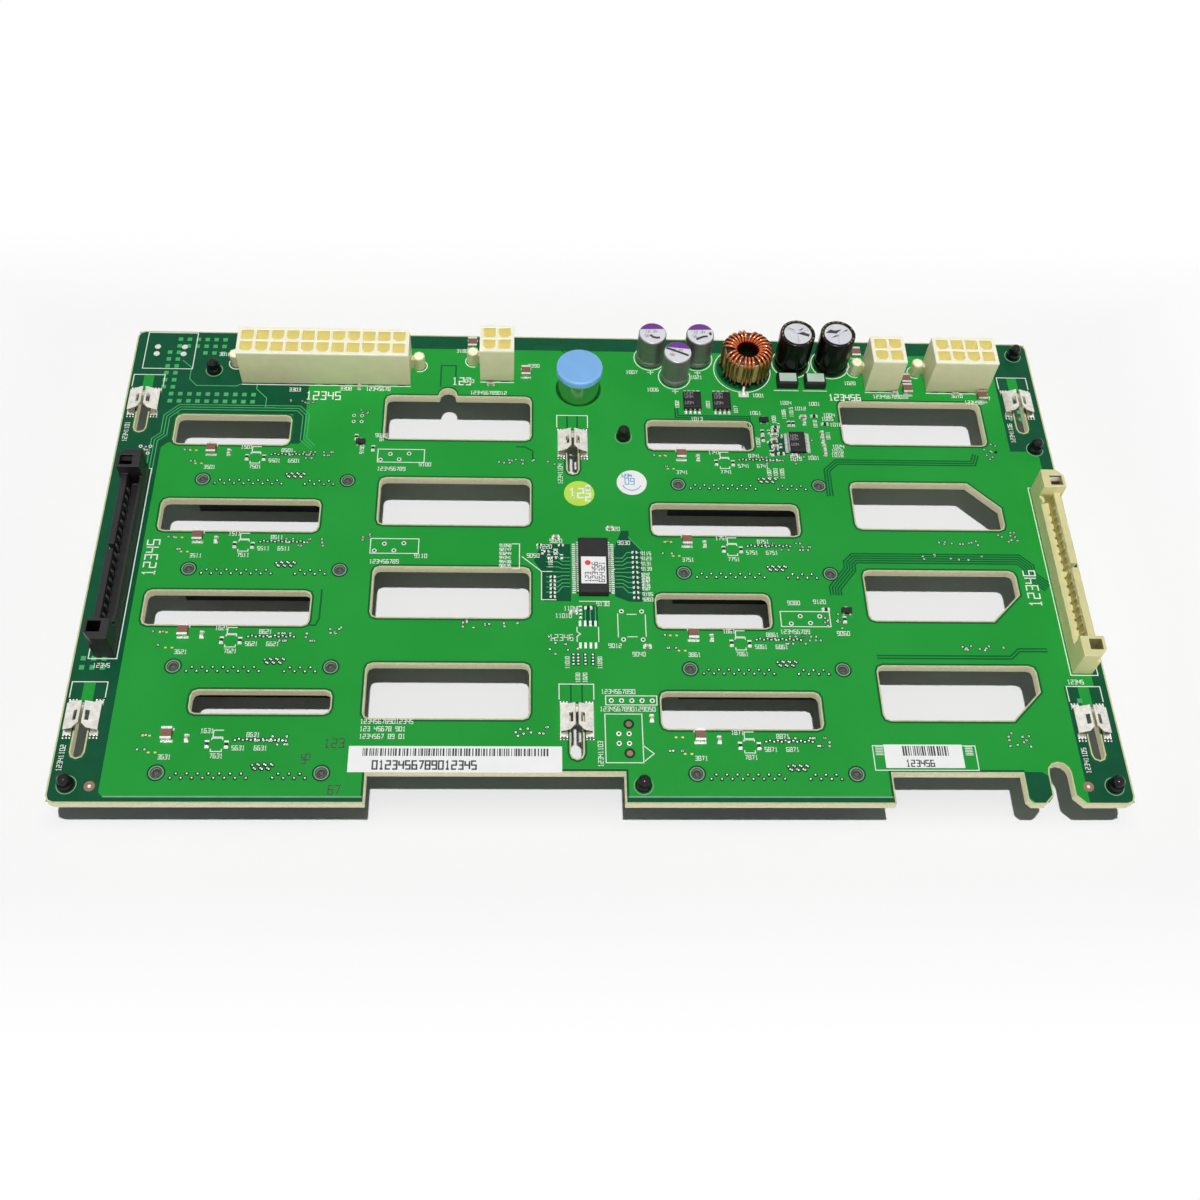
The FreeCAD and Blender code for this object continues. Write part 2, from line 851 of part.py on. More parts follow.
def make_power_socket(name, across, along, columns, far_cells, near_cells, sides):
    """One moulded power socket with open cells, a latch lug and its peg arms."""
    body = keep(new_body(name))
    length = socket_length(columns)
    depth = dim("circuit_pitch") * 2 + dim("socket_margin") * 2
    height = dim("socket_height")
    outline = new_sketch(body, "XY_Plane")
    draw_outline(outline, rectangle(ZERO, ZERO, length, depth))
    pad(body, outline, height)

    cells = new_sketch(body, "XY_Plane", height)
    for column in range(columns):
        for row, letters in enumerate((near_cells, far_cells)):
            left, low = cell_corner(column, row)
            keyed = letters[column % len(letters)] == "D"
            draw_outline(cells, cell_outline(left, low, keyed))
    pocket(body, cells, height - dim("cell_floor"))

    lug = new_sketch(body, "YZ_Plane", length / 2)
    low = dim("lug_low")
    high = dim("lug_high")
    reach = dim("lug_reach")
    draw_outline(lug, [(depth, low), (depth + reach, low), (depth + reach, low + reach), (depth, high)])
    pad(body, lug, dim("lug_width"), midplane=True)

    through = dim("board_thick") - dim("peg_shortfall")
    arms = new_sketch(body, "XY_Plane", -through)
    for side in sides:
        draw_outline(arms, many_sided(arm_offset(columns, side), dim("arm_setback"), dim("arm_radius"), 8))
    # The webs join the arms to the housing, so they are raised before the arms.
    webs = new_sketch(body, "XY_Plane")
    web_low = dim("arm_setback") - dim("arm_web_width") / 2
    for side in sides:
        start = -dim("arm_reach") if side == "left" else length
        draw_outline(webs, rectangle(start, web_low, dim("arm_reach"), dim("arm_web_width")))
    pad(body, webs, dim("arm_web_height"))
    pad(body, arms, through + dim("arm_height"))
    place(body, across, along, BOARD_TOP)


def make_power_pins():
    """The square pins of all four power sockets, standing on the floors of their cells."""
    pins = []
    side = dim("pin_side")
    inset = (dim("cell_side") - side) / 2
    rise = dim("socket_height") - dim("pin_drop") - dim("cell_floor")
    for _, across, along, columns, _, _, _ in POWER_SOCKETS:
        for column in range(columns):
            for row in (0, 1):
                left, low = cell_corner(column, row)
                corner = FreeCAD.Vector(
                    across + left + inset,
                    along + low + inset,
                    BOARD_TOP + dim("cell_floor"),
                )
                pins.append(Part.makeBox(side, side, rise, corner))
    shaped("power_pins", Part.makeCompound(pins))


# --------------------------------------------------------------------------------------------------
# Internal cable sockets
# --------------------------------------------------------------------------------------------------

def cable_housing():
    """One upright cable socket: a trough between two walls, with a latch tower at each end.

    The taller, split wall and the towers' overhang are on the +X side.
    """
    body = new_body("cable_housing_master")
    length = dim("cable_length")
    width = dim("cable_width")
    half_length = length / 2
    half_width = width / 2
    base = new_sketch(body, "XY_Plane")
    draw_outline(base, rectangle(-half_width, -half_length, width, length))
    pad(body, base, dim("cable_floor"))

    inner = new_sketch(body, "XY_Plane")
    draw_outline(inner, rectangle(-half_width, -half_length, dim("cable_inner_wall"), length))
    pad(body, inner, dim("cable_wall_height"))

    outer_left = half_width - dim("cable_outer_wall")
    outer = new_sketch(body, "XY_Plane")
    draw_outline(outer, rectangle(outer_left, -half_length, dim("cable_outer_wall"), length))
    pad(body, outer, dim("cable_outer_wall_height"))

    split = new_sketch(body, "XY_Plane", dim("cable_outer_wall_height"))
    draw_outline(split, rectangle(outer_left, -dim("cable_split") / 2, dim("cable_outer_wall"), dim("cable_split")))
    pocket(body, split, dim("cable_outer_wall_height") - dim("cable_floor"))

    towers = new_sketch(body, "XY_Plane")
    tower = dim("tower_length")
    reach = half_width + dim("tower_overhang")
    slant = dim("tower_chamfer")
    draw_outline(towers, [
        (-half_width, -half_length),
        (reach - slant, -half_length),
        (reach, slant - half_length),
        (reach, tower - half_length),
        (-half_width, tower - half_length),
    ])
    draw_outline(towers, [
        (-half_width, half_length - tower),
        (reach, half_length - tower),
        (reach, half_length - slant),
        (reach - slant, half_length),
        (-half_width, half_length),
    ])
    pad(body, towers, dim("tower_height"))

    wells = new_sketch(body, "XY_Plane", dim("tower_height"))
    well = dim("tower_well_length")
    well_left = reach - dim("tower_well_width") - dim("cable_inner_wall")
    well_end = half_length - tower + dim("cable_inner_wall")
    draw_outline(wells, rectangle(well_left, -well_end - well, dim("tower_well_width"), well))
    draw_outline(wells, rectangle(well_left, well_end, dim("tower_well_width"), well))
    pocket(body, wells, dim("tower_well_depth"))

    tab = new_sketch(body, "XY_Plane", dim("cable_wall_height"))
    tab_low = half_length - tower - dim("key_tab_length") * 1.5
    draw_outline(tab, rectangle(-half_width, tab_low, dim("cable_inner_wall"), dim("key_tab_length")))
    pad(body, tab, dim("key_tab_height"))
    doc.recompute()
    return body


def cable_contacts():
    """The contact strips along the split wall of one cable socket, each bowed out from the wall."""
    strips = []
    wall = dim("cable_width") / 2 - dim("cable_outer_wall")
    low = dim("cable_floor")
    rise = dim("cable_contact_height")
    number = count("cable_contact_count")
    half_run = dim("cable_contact_pitch") * (number - 1) / 2
    for index in range(number):
        near = dim("cable_contact_pitch") * index - half_run - dim("contact_width") / 2
        profile = [
            FreeCAD.Vector(wall, near, low),
            FreeCAD.Vector(wall - dim("contact_bow"), near, low + rise * 0.6),
            FreeCAD.Vector(wall, near, low + rise),
        ]
        face = Part.Face(Part.makePolygon([*profile, profile[0]]))
        strips.append(face.extrude(FreeCAD.Vector(0, dim("contact_width"), 0)))
    return Part.makeCompound(strips)


def cable_latches():
    """The two sprung metal plates that stand in the wells of one cable socket."""
    plates = []
    reach = dim("cable_width") / 2 + dim("tower_overhang")
    left = reach - dim("tower_well_width") - dim("cable_inner_wall")
    well_end = dim("cable_length") / 2 - dim("tower_length") + dim("cable_inner_wall")
    outer_face = well_end + dim("tower_well_length")
    floor = dim("tower_height") - dim("tower_well_depth")
    thick = dim("latch_thick")
    fold = thick * 2
    for side in (-1, 1):
        profile = [
            (outer_face, floor),
            (outer_face, floor + dim("latch_rise")),
            (outer_face - fold, floor + dim("latch_rise") - fold),
            (outer_face - fold, floor + dim("latch_rise") - fold - thick),
            (outer_face - thick, floor + dim("latch_rise") - fold - thick),
            (outer_face - thick, floor),
        ]
        points = [FreeCAD.Vector(left, side * y, z) for y, z in profile]
        face = Part.Face(Part.makePolygon(points + points[:1]))
        plates.append(face.extrude(FreeCAD.Vector(dim("tower_well_width"), 0, 0)))
    return Part.makeCompound(plates)


def make_cable_sockets():
    """The right cable socket, and the left one turned half round so that both split walls face out."""
    housing = cable_housing()
    contacts = cable_contacts()
    latches = cable_latches()
    for side, turn in (("right", 0.0), ("left", HALF_TURN)):
        across = share_x(f"{side}_cable")
        along = share_y(f"{side}_cable")
        spin = FreeCAD.Rotation(FreeCAD.Vector(0, 0, 1), turn)
        spot = FreeCAD.Placement(FreeCAD.Vector(across, along, BOARD_TOP), spin)
        copied(f"{side}_cable_socket", housing, across, along, BOARD_TOP, turn)
        shaped(f"{side}_cable_contacts", contacts.copy()).Placement = spot
        shaped(f"{side}_cable_latches", latches.copy()).Placement = spot


# --------------------------------------------------------------------------------------------------
# Ground clips
# --------------------------------------------------------------------------------------------------

def ground_clip():
    """One folded clip: two feet joined by a bridge, and two leaves that rise to a narrow gap."""
    body = new_body("ground_clip_master")
    half = dim("clip_width") / 2
    sheet_thick = dim("clip_sheet")
    length = dim("clip_length")
    foot = dim("clip_foot_width")
    foot_length = dim("clip_foot_length")
    feet = new_sketch(body, "XY_Plane")
    bridge_low = length / 2 - dim("clip_bridge")
    draw_outline(feet, [
        (-half, -foot_length / 2),
        (foot - half, -foot_length / 2),
        (foot - half, bridge_low),
        (half - foot, bridge_low),
        (half - foot, -foot_length / 2),
        (half, -foot_length / 2),
        (half, foot_length / 2),
        (half - foot, foot_length / 2),
        (half - foot, length / 2),
        (foot - half, length / 2),
        (foot - half, foot_length / 2),
        (-half, foot_length / 2),
    ])
    pad(body, feet, sheet_thick)

    leaf = new_sketch(body, "XZ_Plane")
    shoulder = dim("clip_shoulder")
    rise = dim("clip_rise")
    gap = dim("clip_gap") / 2
    drop = rise - dim("clip_leaf_drop")
    for side in (-1, 1):
        draw_outline(leaf, [
            (half * side, ZERO),
            (half * side, shoulder),
            ((gap + sheet_thick) * side, rise),
            (gap * side, rise - sheet_thick),
            (gap * side, drop),
            ((gap + sheet_thick) * side, drop),
            ((gap + sheet_thick) * side, rise - sheet_thick * 2),
            ((half - sheet_thick) * side, shoulder - sheet_thick / 2),
            ((half - sheet_thick) * side, ZERO),
        ])
    pad(body, leaf, length, midplane=True)

    windows = new_sketch(body, "XY_Plane", rise)
    flare = dim("clip_flare")
    inner = gap + dim("clip_window_inset")
    window = dim("clip_window_width")
    low = -length / 2
    for side in (-1, 1):
        draw_outline(windows, [
            (inner * side, low + flare * 1.5),
            ((inner + window) * side, low + flare * 1.5),
            ((inner + window) * side, low + flare * 1.5 + dim("clip_window_length")),
            (inner * side, low + flare * 1.5 + dim("clip_window_length")),
        ])
    draw_outline(windows, [
        (-gap - flare, low),
        (gap + flare, low),
        (gap, low + flare),
        (-gap, low + flare),
    ])
    pocket(body, windows, rise - sheet_thick)
    doc.recompute()
    return body


def make_ground_clips():
    """Six clips, one across the upper part of each hook slot."""
    clip = ground_clip()
    for number, (across, low) in enumerate(HOOK_PLACES, start=1):
        copied(f"ground_clip_{number}", clip, across, low + dim("clip_above_slot"), BOARD_TOP)


# --------------------------------------------------------------------------------------------------
# Snap-in posts
# --------------------------------------------------------------------------------------------------

def make_posts():
    """Seven posts through the board, each with a flange below and a tapered head above."""
    body = new_body("post_master")
    under = -dim("board_thick")
    steps = [
        (under - dim("post_flange"), dim("post_flange"), "post_radius", 0.0),
        (under, dim("board_thick"), "post_stem_radius", 0.0),
        (ZERO, dim("post_height"), "post_radius", -10.0),
    ]
    for low, rise, radius, taper in steps:
        sketch = new_sketch(body, "XY_Plane", low)
        draw_outline(sketch, many_sided(ZERO, ZERO, dim(radius), 6))
        pad(body, sketch, rise).TaperAngle = taper
    doc.recompute()
    posts = []
    for across, along in POST_PLACES:
        post = body.Shape.copy()
        post.translate(FreeCAD.Vector(across, along, BOARD_TOP))
        posts.append(post)
    shaped("snap_in_posts", Part.makeCompound(posts))


# --------------------------------------------------------------------------------------------------
# Release plunger
# --------------------------------------------------------------------------------------------------

CAVITY_FLOOR = dim("barrel_wall") - dim("board_thick") - dim("barrel_stake_height")
CAVITY_TOP = dim("barrel_height") - dim("barrel_wall")
COLLAR_LOW = CAVITY_FLOOR + dim("rest_clearance")


def bored(body, radius, low, rise):
    """Cut a many-sided bore about the body's axis, upward from a height."""
    sketch = new_sketch(body, "XY_Plane", low)
    draw_outline(sketch, many_sided(ZERO, ZERO, radius / math.cos(math.pi / 8), 8))
    return pocket(body, sketch, rise, reversed_way=True)


def ringed(body, radius, low, rise, sides=8):
    """Add a many-sided length about the body's axis, upward from a height."""
    sketch = new_sketch(body, "XY_Plane", low)
    draw_outline(sketch, many_sided(ZERO, ZERO, radius, sides))
    return pad(body, sketch, rise)


def make_barrel():
    """The turned barrel, its shank staked into the board, hollow for the spring, with a guide at each end."""
    body = keep(new_body("plunger_barrel"))
    guide = dim("pin_radius") + dim("running_clearance")
    shank = dim("board_thick") + dim("barrel_stake_height")
    turned(body, [
        (ZERO, ZERO),
        (dim("barrel_radius"), ZERO),
        (dim("barrel_radius"), dim("barrel_height")),
        (ZERO, dim("barrel_height")),
    ])
    ringed(body, dim("barrel_shank_radius"), -shank, shank)
    bored(body, dim("barrel_bore"), CAVITY_FLOOR, CAVITY_TOP - CAVITY_FLOOR)
    bored(body, guide, -shank, shank + dim("barrel_height"))
    place(body, share_x("plunger"), below_top("plunger"), BOARD_TOP)


def make_knob():
    """The round pull knob that sits on the barrel and holds the pin's upper end."""
    body = keep(new_body("plunger_knob"))
    low = dim("barrel_height") + dim("rest_clearance")
    high = low + dim("knob_height")
    turned(body, [
        (ZERO, low),
        (dim("knob_radius"), low),
        (dim("knob_radius"), high - dim("knob_chamfer")),
        (dim("knob_radius") - dim("knob_chamfer"), high),
        (ZERO, high),
    ])
    bored(body, dim("pin_radius") + dim("press_clearance"), low, dim("knob_bore_depth"))
    place(body, share_x("plunger"), below_top("plunger"), BOARD_TOP)


def make_pin():
    """The locking pin: a nose below the board, a neck, a collar for the spring and a stem up to the knob."""
    body = keep(new_body("plunger_pin"))
    tip = -dim("board_thick") - dim("pin_reach")
    neck = -dim("board_thick") - dim("barrel_stake_height") - dim("pin_neck_reveal")
    top = dim("barrel_height") + dim("rest_clearance") + dim("knob_bore_depth") - dim("press_clearance")
    turned(body, [
        (ZERO, tip),
        (dim("pin_radius") - dim("pin_nose"), tip),
        (dim("pin_radius"), tip + dim("pin_nose")),
        (dim("pin_radius"), neck),
        (dim("pin_neck_radius"), neck),
        (dim("pin_neck_radius"), COLLAR_LOW),
        (ZERO, COLLAR_LOW),
    ])
    ringed(body, dim("collar_radius"), COLLAR_LOW, dim("collar_height"))
    ringed(body, dim("pin_radius"), COLLAR_LOW, top - COLLAR_LOW)
    place(body, share_x("plunger"), below_top("plunger"), BOARD_TOP)


def faceted_tube(centres, sideways, outward, half_side):
    """A closed solid of flat facets: a three-sided section carried through the centres.

    The section at each centre has a flat back and an outer ridge, spanned by a sideways and an outward
    vector, both given there.
    """
    rings = []
    for centre, side, out in zip(centres, sideways, outward):
        rings.append([
            centre + out * half_side,
            centre - side * half_side - out * half_side,
            centre + side * half_side - out * half_side,
        ])
    triangles = [rings[0], rings[-1]]
    for ring, following in zip(rings, rings[1:]):
        for corner in range(3):
            after = (corner + 1) % 3
            triangles.append((ring[corner], ring[after], following[after]))
            triangles.append((ring[corner], following[after], following[corner]))
    faces = [Part.Face(Part.makePolygon([*corners, corners[0]])) for corners in triangles]
    solid = Part.makeSolid(Part.makeShell(faces))
    if solid.Volume < 0:
        solid.reverse()
    return solid


def make_spring():
    """The compression spring round the pin, between its collar and the barrel's upper wall."""
    steps_per_turn = 7
    turns = float(dim("spring_turns"))
    half_wire = dim("spring_wire") / 2
    low = COLLAR_LOW + dim("collar_height") + dim("rest_clearance") + half_wire
    high = CAVITY_TOP - dim("rest_clearance") - half_wire
    steps = int(steps_per_turn * turns)
    centres = []
    outward = []
    for step in range(steps + 1):
        angle = 2 * math.pi * turns * step / steps
        out = FreeCAD.Vector(math.cos(angle), math.sin(angle), 0)
        height = float(low) + float(high - low) * step / steps
        centres.append(out * float(dim("spring_radius")) + FreeCAD.Vector(0, 0, height))
        outward.append(out)
    upward = [FreeCAD.Vector(0, 0, 1)] * len(centres)
    spring = faceted_tube(centres, upward, outward, float(half_wire))
    spring.translate(FreeCAD.Vector(share_x("plunger"), below_top("plunger"), BOARD_TOP))
    shaped("plunger_spring", spring)


# --------------------------------------------------------------------------------------------------
# Capacitors and choke
# --------------------------------------------------------------------------------------------------

def make_can(name, across, along, radius, height):
    """A sealed capacitor can standing on the board, its upper edge eased."""
    body = keep(new_body(name))
    can = ringed(body, radius, ZERO, height, count("can_sides"))
    doc.recompute()
    chamfered(body, can, top_edges(can.Shape, float(height)), dim("can_shoulder"))
    place(body, supply_x(across), below_top(along), BOARD_TOP)


def make_capacitors():
    """Three polymer cans and two taller electrolytic ones."""
    polymer = (dim("polymer_radius"), dim("polymer_height"))
    make_can("polymer_capacitor_1", "polymer_left", "polymer_back", *polymer)
    make_can("polymer_capacitor_2", "polymer_front", "polymer_front", *polymer)
    make_can("polymer_capacitor_3", "polymer_right", "polymer_back", *polymer)
    tall = (dim("electrolytic_radius"), dim("electrolytic_height"))
    make_can("electrolytic_capacitor_1", "electrolytic_left", "electrolytic", *tall)
    make_can("electrolytic_capacitor_2", "electrolytic_right", "electrolytic", *tall)


def winding_lift():
    """Height of the core's underside above the board: one wire and its clearance."""
    return dim("wire_side") + dim("wire_clearance")


def make_core():
    """The ring core of the choke, many-sided because its wire hides most of it."""
    body = keep(new_body("choke_core"))
    sides = count("core_sides")
    ring = new_sketch(body, "XY_Plane", winding_lift())
    draw_outline(ring, many_sided(ZERO, ZERO, dim("core_outer"), sides))
    draw_outline(ring, many_sided(ZERO, ZERO, dim("core_inner") / math.cos(math.pi / sides), sides))
    pad(body, ring, dim("core_height"))
    place(body, supply_x("choke"), below_top("choke"), BOARD_TOP)


def make_winding():
    """The choke's wire: turns round the core's section, with both ends brought down to the board.

    Each turn is a rectangle with mitred corners, and the turns advance evenly round the ring. The wire
    is squeezed narrower inside the ring, where the turns crowd together.
    """
    half_wire = float(dim("wire_side") / 2)
    stand_off = float(dim("wire_clearance")) + half_wire
    low = float(winding_lift()) - stand_off
    high = float(winding_lift() + dim("core_height")) + stand_off
    inner = float(dim("core_inner")) - stand_off
    outer = float(dim("core_outer")) + stand_off
    squeeze = float(dim("wire_squeeze"))
    # One turn: radius, height, outward direction of the loop (radial and upward), and relative width.
    loop = [
        (outer, low, 1, -1, 1),
        (outer, high, 1, 1, 1),
        (inner, high, -1, 1, squeeze),
        (inner, low, -1, -1, squeeze),
    ]
    turns = count("winding_turns")
    sweep = math.radians(float(dim("winding_sweep")))
    start = -math.pi / 2 + (2 * math.pi - sweep) / 2
    total = turns * len(loop)
    path = []
    for step in range(total):
        path.append((start + sweep * step / total, *loop[step % len(loop)]))
    path.append((start + sweep, outer + float(dim("choke_lead")), half_wire, 0, -1, 1))
    centres = []
    outward = []
    sideways = []
    for angle, radius, height, out, up, width in path:
        radial = FreeCAD.Vector(math.cos(angle), math.sin(angle), 0)
        centres.append(radial * radius + FreeCAD.Vector(0, 0, height))
        outward.append(radial * out + FreeCAD.Vector(0, 0, up))
        sideways.append(FreeCAD.Vector(-math.sin(angle), math.cos(angle), 0) * width)
    winding = faceted_tube(centres, sideways, outward, half_wire)
    winding.translate(FreeCAD.Vector(supply_x("choke"), below_top("choke"), BOARD_TOP))
    shaped("choke_winding", winding)


# --------------------------------------------------------------------------------------------------
# Flat parts on the board
# --------------------------------------------------------------------------------------------------

def make_chip(name, across, along, width, length, height, bevel):
    """A moulded block with bevelled upper edges, standing on the board."""
    body = keep(new_body(name))
    outline = new_sketch(body, "XY_Plane")
    draw_outline(outline, rectangle(ZERO, ZERO, width, length))
    block = pad(body, outline, height)
    doc.recompute()
    chamfered(body, block, top_edges(block.Shape, float(height)), bevel)
    place(body, across, along, BOARD_TOP)


def make_chips():
    """The controller, the regulator, two power switches and two bevelled blocks."""
    make_chip("controller_chip", share_x("controller"), share_y("controller"), dim("controller_width"),
              dim("controller_length"), dim("controller_height"), dim("chip_bevel"))
    make_chip("regulator_chip", share_x("regulator"), share_y("regulator"), dim("regulator_width"),
              dim("regulator_length"), dim("regulator_height"), dim("chip_bevel"))
    for number, across in enumerate(("switch_left", "switch_right"), start=1):
        make_chip(f"power_switch_{number}", supply_x(across), below_top("switch"), dim("switch_width"),
                  dim("switch_length"), dim("switch_height"), dim("chip_bevel"))
    for number, across in enumerate(("block_left", "block_right"), start=1):
        make_chip(f"diode_block_{number}", supply_x(across), below_top("block"), dim("block_length"),
                  dim("block_width"), dim("block_height"), dim("block_bevel"))


def make_chip_capacitors():
    """The brown block capacitors: one beside each drive socket and a few along the upper edge."""
    places = [(x - dim("drive_cap_back"), y + share_of_row("drive_cap_rise")) for x, y in DRIVE_PLACES]
    places += [
        (share_x("edge_cap"), below_top("edge_cap")),
        (share_x("media_cap"), below_top("media_cap")),
        (supply_x("pair_cap"), below_top("pair_cap_low")),
        (supply_x("pair_cap"), below_top("pair_cap_low") + dim("pair_cap_pitch")),
        (supply_x("fan_cap"), below_top("fan_cap")),
        (supply_x("rear_cap"), below_top("rear_cap")),
    ]
    width = dim("chip_cap_width")
    length = dim("chip_cap_length")
    blocks = []
    for across, along in places:
        corner = FreeCAD.Vector(across - width / 2, along - length / 2, BOARD_TOP)
        blocks.append(Part.makeBox(width, length, dim("chip_cap_height"), corner))
    shaped("chip_capacitors", Part.makeCompound(blocks))


# --------------------------------------------------------------------------------------------------
# Build, check and write
# --------------------------------------------------------------------------------------------------

def check_document():
    """Stop if any object failed or any sub-part has no valid solid."""
    failed = [item.Name for item in doc.Objects if {"Invalid", "Error"} & set(item.State)]
    if failed:
        raise RuntimeError(f"objects that failed: {failed}")
    for item in SUBPARTS:
        if item.Shape.isNull() or not item.Shape.isValid() or not item.Shape.Solids:
            raise RuntimeError(f"{item.Label} has no valid solid")


def write_parts():
    """Write each sub-part to its own file."""
    os.makedirs(PARTS_FOLDER, exist_ok=True)
    for item in SUBPARTS:
        item.Shape.exportStep(os.path.join(PARTS_FOLDER, f"{item.Label}.step"))
        print(f"{item.Label}: {len(item.Shape.Solids)} solids, {item.Shape.Volume:.1f} mm3")


make_board()
make_drive_sockets()
for socket in POWER_SOCKETS:
    make_power_socket(*socket)
make_power_pins()
make_cable_sockets()
make_ground_clips()
make_posts()
make_barrel()
make_knob()
make_pin()
make_spring()
make_capacitors()
make_core()
make_winding()
make_chips()
make_chip_capacitors()
doc.recompute()
check_document()
write_parts()
print(f"{len(SUBPARTS)} sub-parts written")
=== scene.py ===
import math

import bmesh
import bpy
import numpy as np
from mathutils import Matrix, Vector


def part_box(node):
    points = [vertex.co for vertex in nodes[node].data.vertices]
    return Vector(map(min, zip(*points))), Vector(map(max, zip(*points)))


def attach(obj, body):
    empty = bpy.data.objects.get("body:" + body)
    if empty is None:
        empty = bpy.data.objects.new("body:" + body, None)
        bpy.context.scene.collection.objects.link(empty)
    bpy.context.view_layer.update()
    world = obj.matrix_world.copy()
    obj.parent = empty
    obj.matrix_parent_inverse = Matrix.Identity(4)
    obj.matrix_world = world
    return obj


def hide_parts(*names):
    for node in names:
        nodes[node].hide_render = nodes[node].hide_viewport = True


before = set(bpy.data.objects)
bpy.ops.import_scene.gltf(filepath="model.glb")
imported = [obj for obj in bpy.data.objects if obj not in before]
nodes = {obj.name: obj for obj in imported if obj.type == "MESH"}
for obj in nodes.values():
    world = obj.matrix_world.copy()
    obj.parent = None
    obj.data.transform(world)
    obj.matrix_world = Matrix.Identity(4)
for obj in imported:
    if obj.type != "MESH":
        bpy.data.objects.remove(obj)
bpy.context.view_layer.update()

MM = 0.001
SLOT_DROP = 3.2


def limits(node):
    """The low and high corners of a CAD node's box, in millimetres."""
    return [np.array(corner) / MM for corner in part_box(node)]


def middle_of(node):
    """The middle of a CAD node's box, in millimetres."""
    low, high = limits(node)
    return (low + high) / 2


def points_of(mesh):
    """All points of a mesh, in millimetres."""
    coordinates = np.empty(len(mesh.vertices) * 3)
    mesh.vertices.foreach_get("co", coordinates)
    return coordinates.reshape(-1, 3) / MM


board_low, board_high = limits("circuit_board")
WEST, SOUTH, UNDER = board_low
EAST, NORTH, TOP = board_high
DRIVES = [middle_of(f"drive_socket_{number}")[:2] for number in range(1, 9)]
CLIPS = [middle_of(f"ground_clip_{number}")[:2] for number in range(1, 7)]
SLOTS = [centre - (0.0, SLOT_DROP) for centre in CLIPS]
POWER_NODES = ("main_power_socket", "left_media_socket", "right_media_socket", "fan_power_socket")
print("board top at", round(float(TOP), 3), "mm")

# %% [markdown]
# ## Finishes
# Every finish is a Principled shader whose colour and roughness wander a little, because no moulded or
# plated surface is perfectly even. The wander comes from noise on Object coordinates, so it stays at
# the same scale on every piece, and a finer noise feeds a Bump node for the skin of the surface.
# %% A helper for colours and for node trees


def colour(red, green, blue):
    """A screen colour of 0 to 255, as the linear values that a shader takes."""
    screen = np.array([red, green, blue]) / 255.0
    linear = np.where(screen <= 0.04045, screen / 12.92, ((screen + 0.055) / 1.055) ** 2.4)
    return (*linear.tolist(), 1.0)


def new_material(name):
    """An empty node material with its output, and the coordinates that all patterns read."""
    material = bpy.data.materials.new(name)
    material.use_nodes = True
    tree = material.node_tree
    tree.nodes.clear()
    output = tree.nodes.new("ShaderNodeOutputMaterial")
    shader = tree.nodes.new("ShaderNodeBsdfPrincipled")
    tree.links.new(shader.outputs["BSDF"], output.inputs["Surface"])
    place = tree.nodes.new("ShaderNodeTexCoord")
    return material, tree, shader, place.outputs["Object"]


def noise(tree, place, scale, detail=3.0):
    """Soft random mottling, scale blotches to a metre."""
    node = tree.nodes.new("ShaderNodeTexNoise")
    node.inputs["Scale"].default_value = scale
    node.inputs["Detail"].default_value = detail
    tree.links.new(place, node.inputs["Vector"])
    return node.outputs["Fac"]


def ramp(tree, source, stops):
    """Turn a 0 to 1 value into the colours of the stops."""
    node = tree.nodes.new("ShaderNodeValToRGB")
    elements = node.color_ramp.elements
    for spare in range(len(stops) - 2):
        elements.new(0.5)
    for element, (position, shade) in zip(elements, stops):
        element.position = position
        element.color = shade
    tree.links.new(source, node.inputs["Fac"])
    return node.outputs["Color"]


def feed(tree, slot, value):
    """Link a socket into a slot, or set the slot when the value is plain."""
    if isinstance(value, (int, float, tuple)):
        slot.default_value = value
    else:
        tree.links.new(value, slot)


def math_node(tree, operation, *values):
    """One sum on values or sockets."""
    node = tree.nodes.new("ShaderNodeMath")
    node.operation = operation
    for slot, value in zip(node.inputs, values):
        feed(tree, slot, value)
    return node.outputs["Value"]


def split_xyz(tree, source):
    """The three parts of a vector, by name."""
    node = tree.nodes.new("ShaderNodeSeparateXYZ")
    tree.links.new(source, node.inputs["Vector"])
    return node.outputs


def mix(tree, factor, first, second):
    """Blend two colours by a factor; each may be a colour or a socket."""
    node = tree.nodes.new("ShaderNodeMix")
    node.data_type = "RGBA"
    for name, value in (("Factor", factor), ("A", first), ("B", second)):
        feed(tree, [item for item in node.inputs if item.name == name and item.enabled][0], value)
    return [item for item in node.outputs if item.enabled][0]


def bump(tree, shader, height, strength, distance=0.0002):
    """Roughen the surface by a height value."""
    node = tree.nodes.new("ShaderNodeBump")
    node.inputs["Strength"].default_value = strength
    node.inputs["Distance"].default_value = distance
    tree.links.new(height, node.inputs["Height"])
    tree.links.new(node.outputs["Normal"], shader.inputs["Normal"])


def scaled(shade, factor):
    """A colour made lighter or darker."""
    return (*(min(1.0, channel * factor) for channel in shade[:3]), 1.0)


SPREAD = 0.08


def finish(name, shade, rough, metal=0.0, vary=0.12, blotch=260.0, grain=4000.0, skin=0.15, shine=0.5):
    """A plain finish whose colour, roughness and skin wander a little."""
    material, tree, shader, place = new_material(name)
    drift = noise(tree, place, blotch)
    stops = [(0.3, scaled(shade, 1.0 - vary)), (0.7, scaled(shade, 1.0 + vary))]
    tree.links.new(ramp(tree, drift, stops), shader.inputs["Base Color"])
    uneven = math_node(tree, "MULTIPLY_ADD", noise(tree, place, blotch * 3.0), SPREAD, rough - SPREAD / 2)
    tree.links.new(uneven, shader.inputs["Roughness"])
    shader.inputs["Metallic"].default_value = metal
    shader.inputs["Specular IOR Level"].default_value = shine
    bump(tree, shader, noise(tree, place, grain, 2.0), skin)
    return material


# %% Plain finishes of the small parts

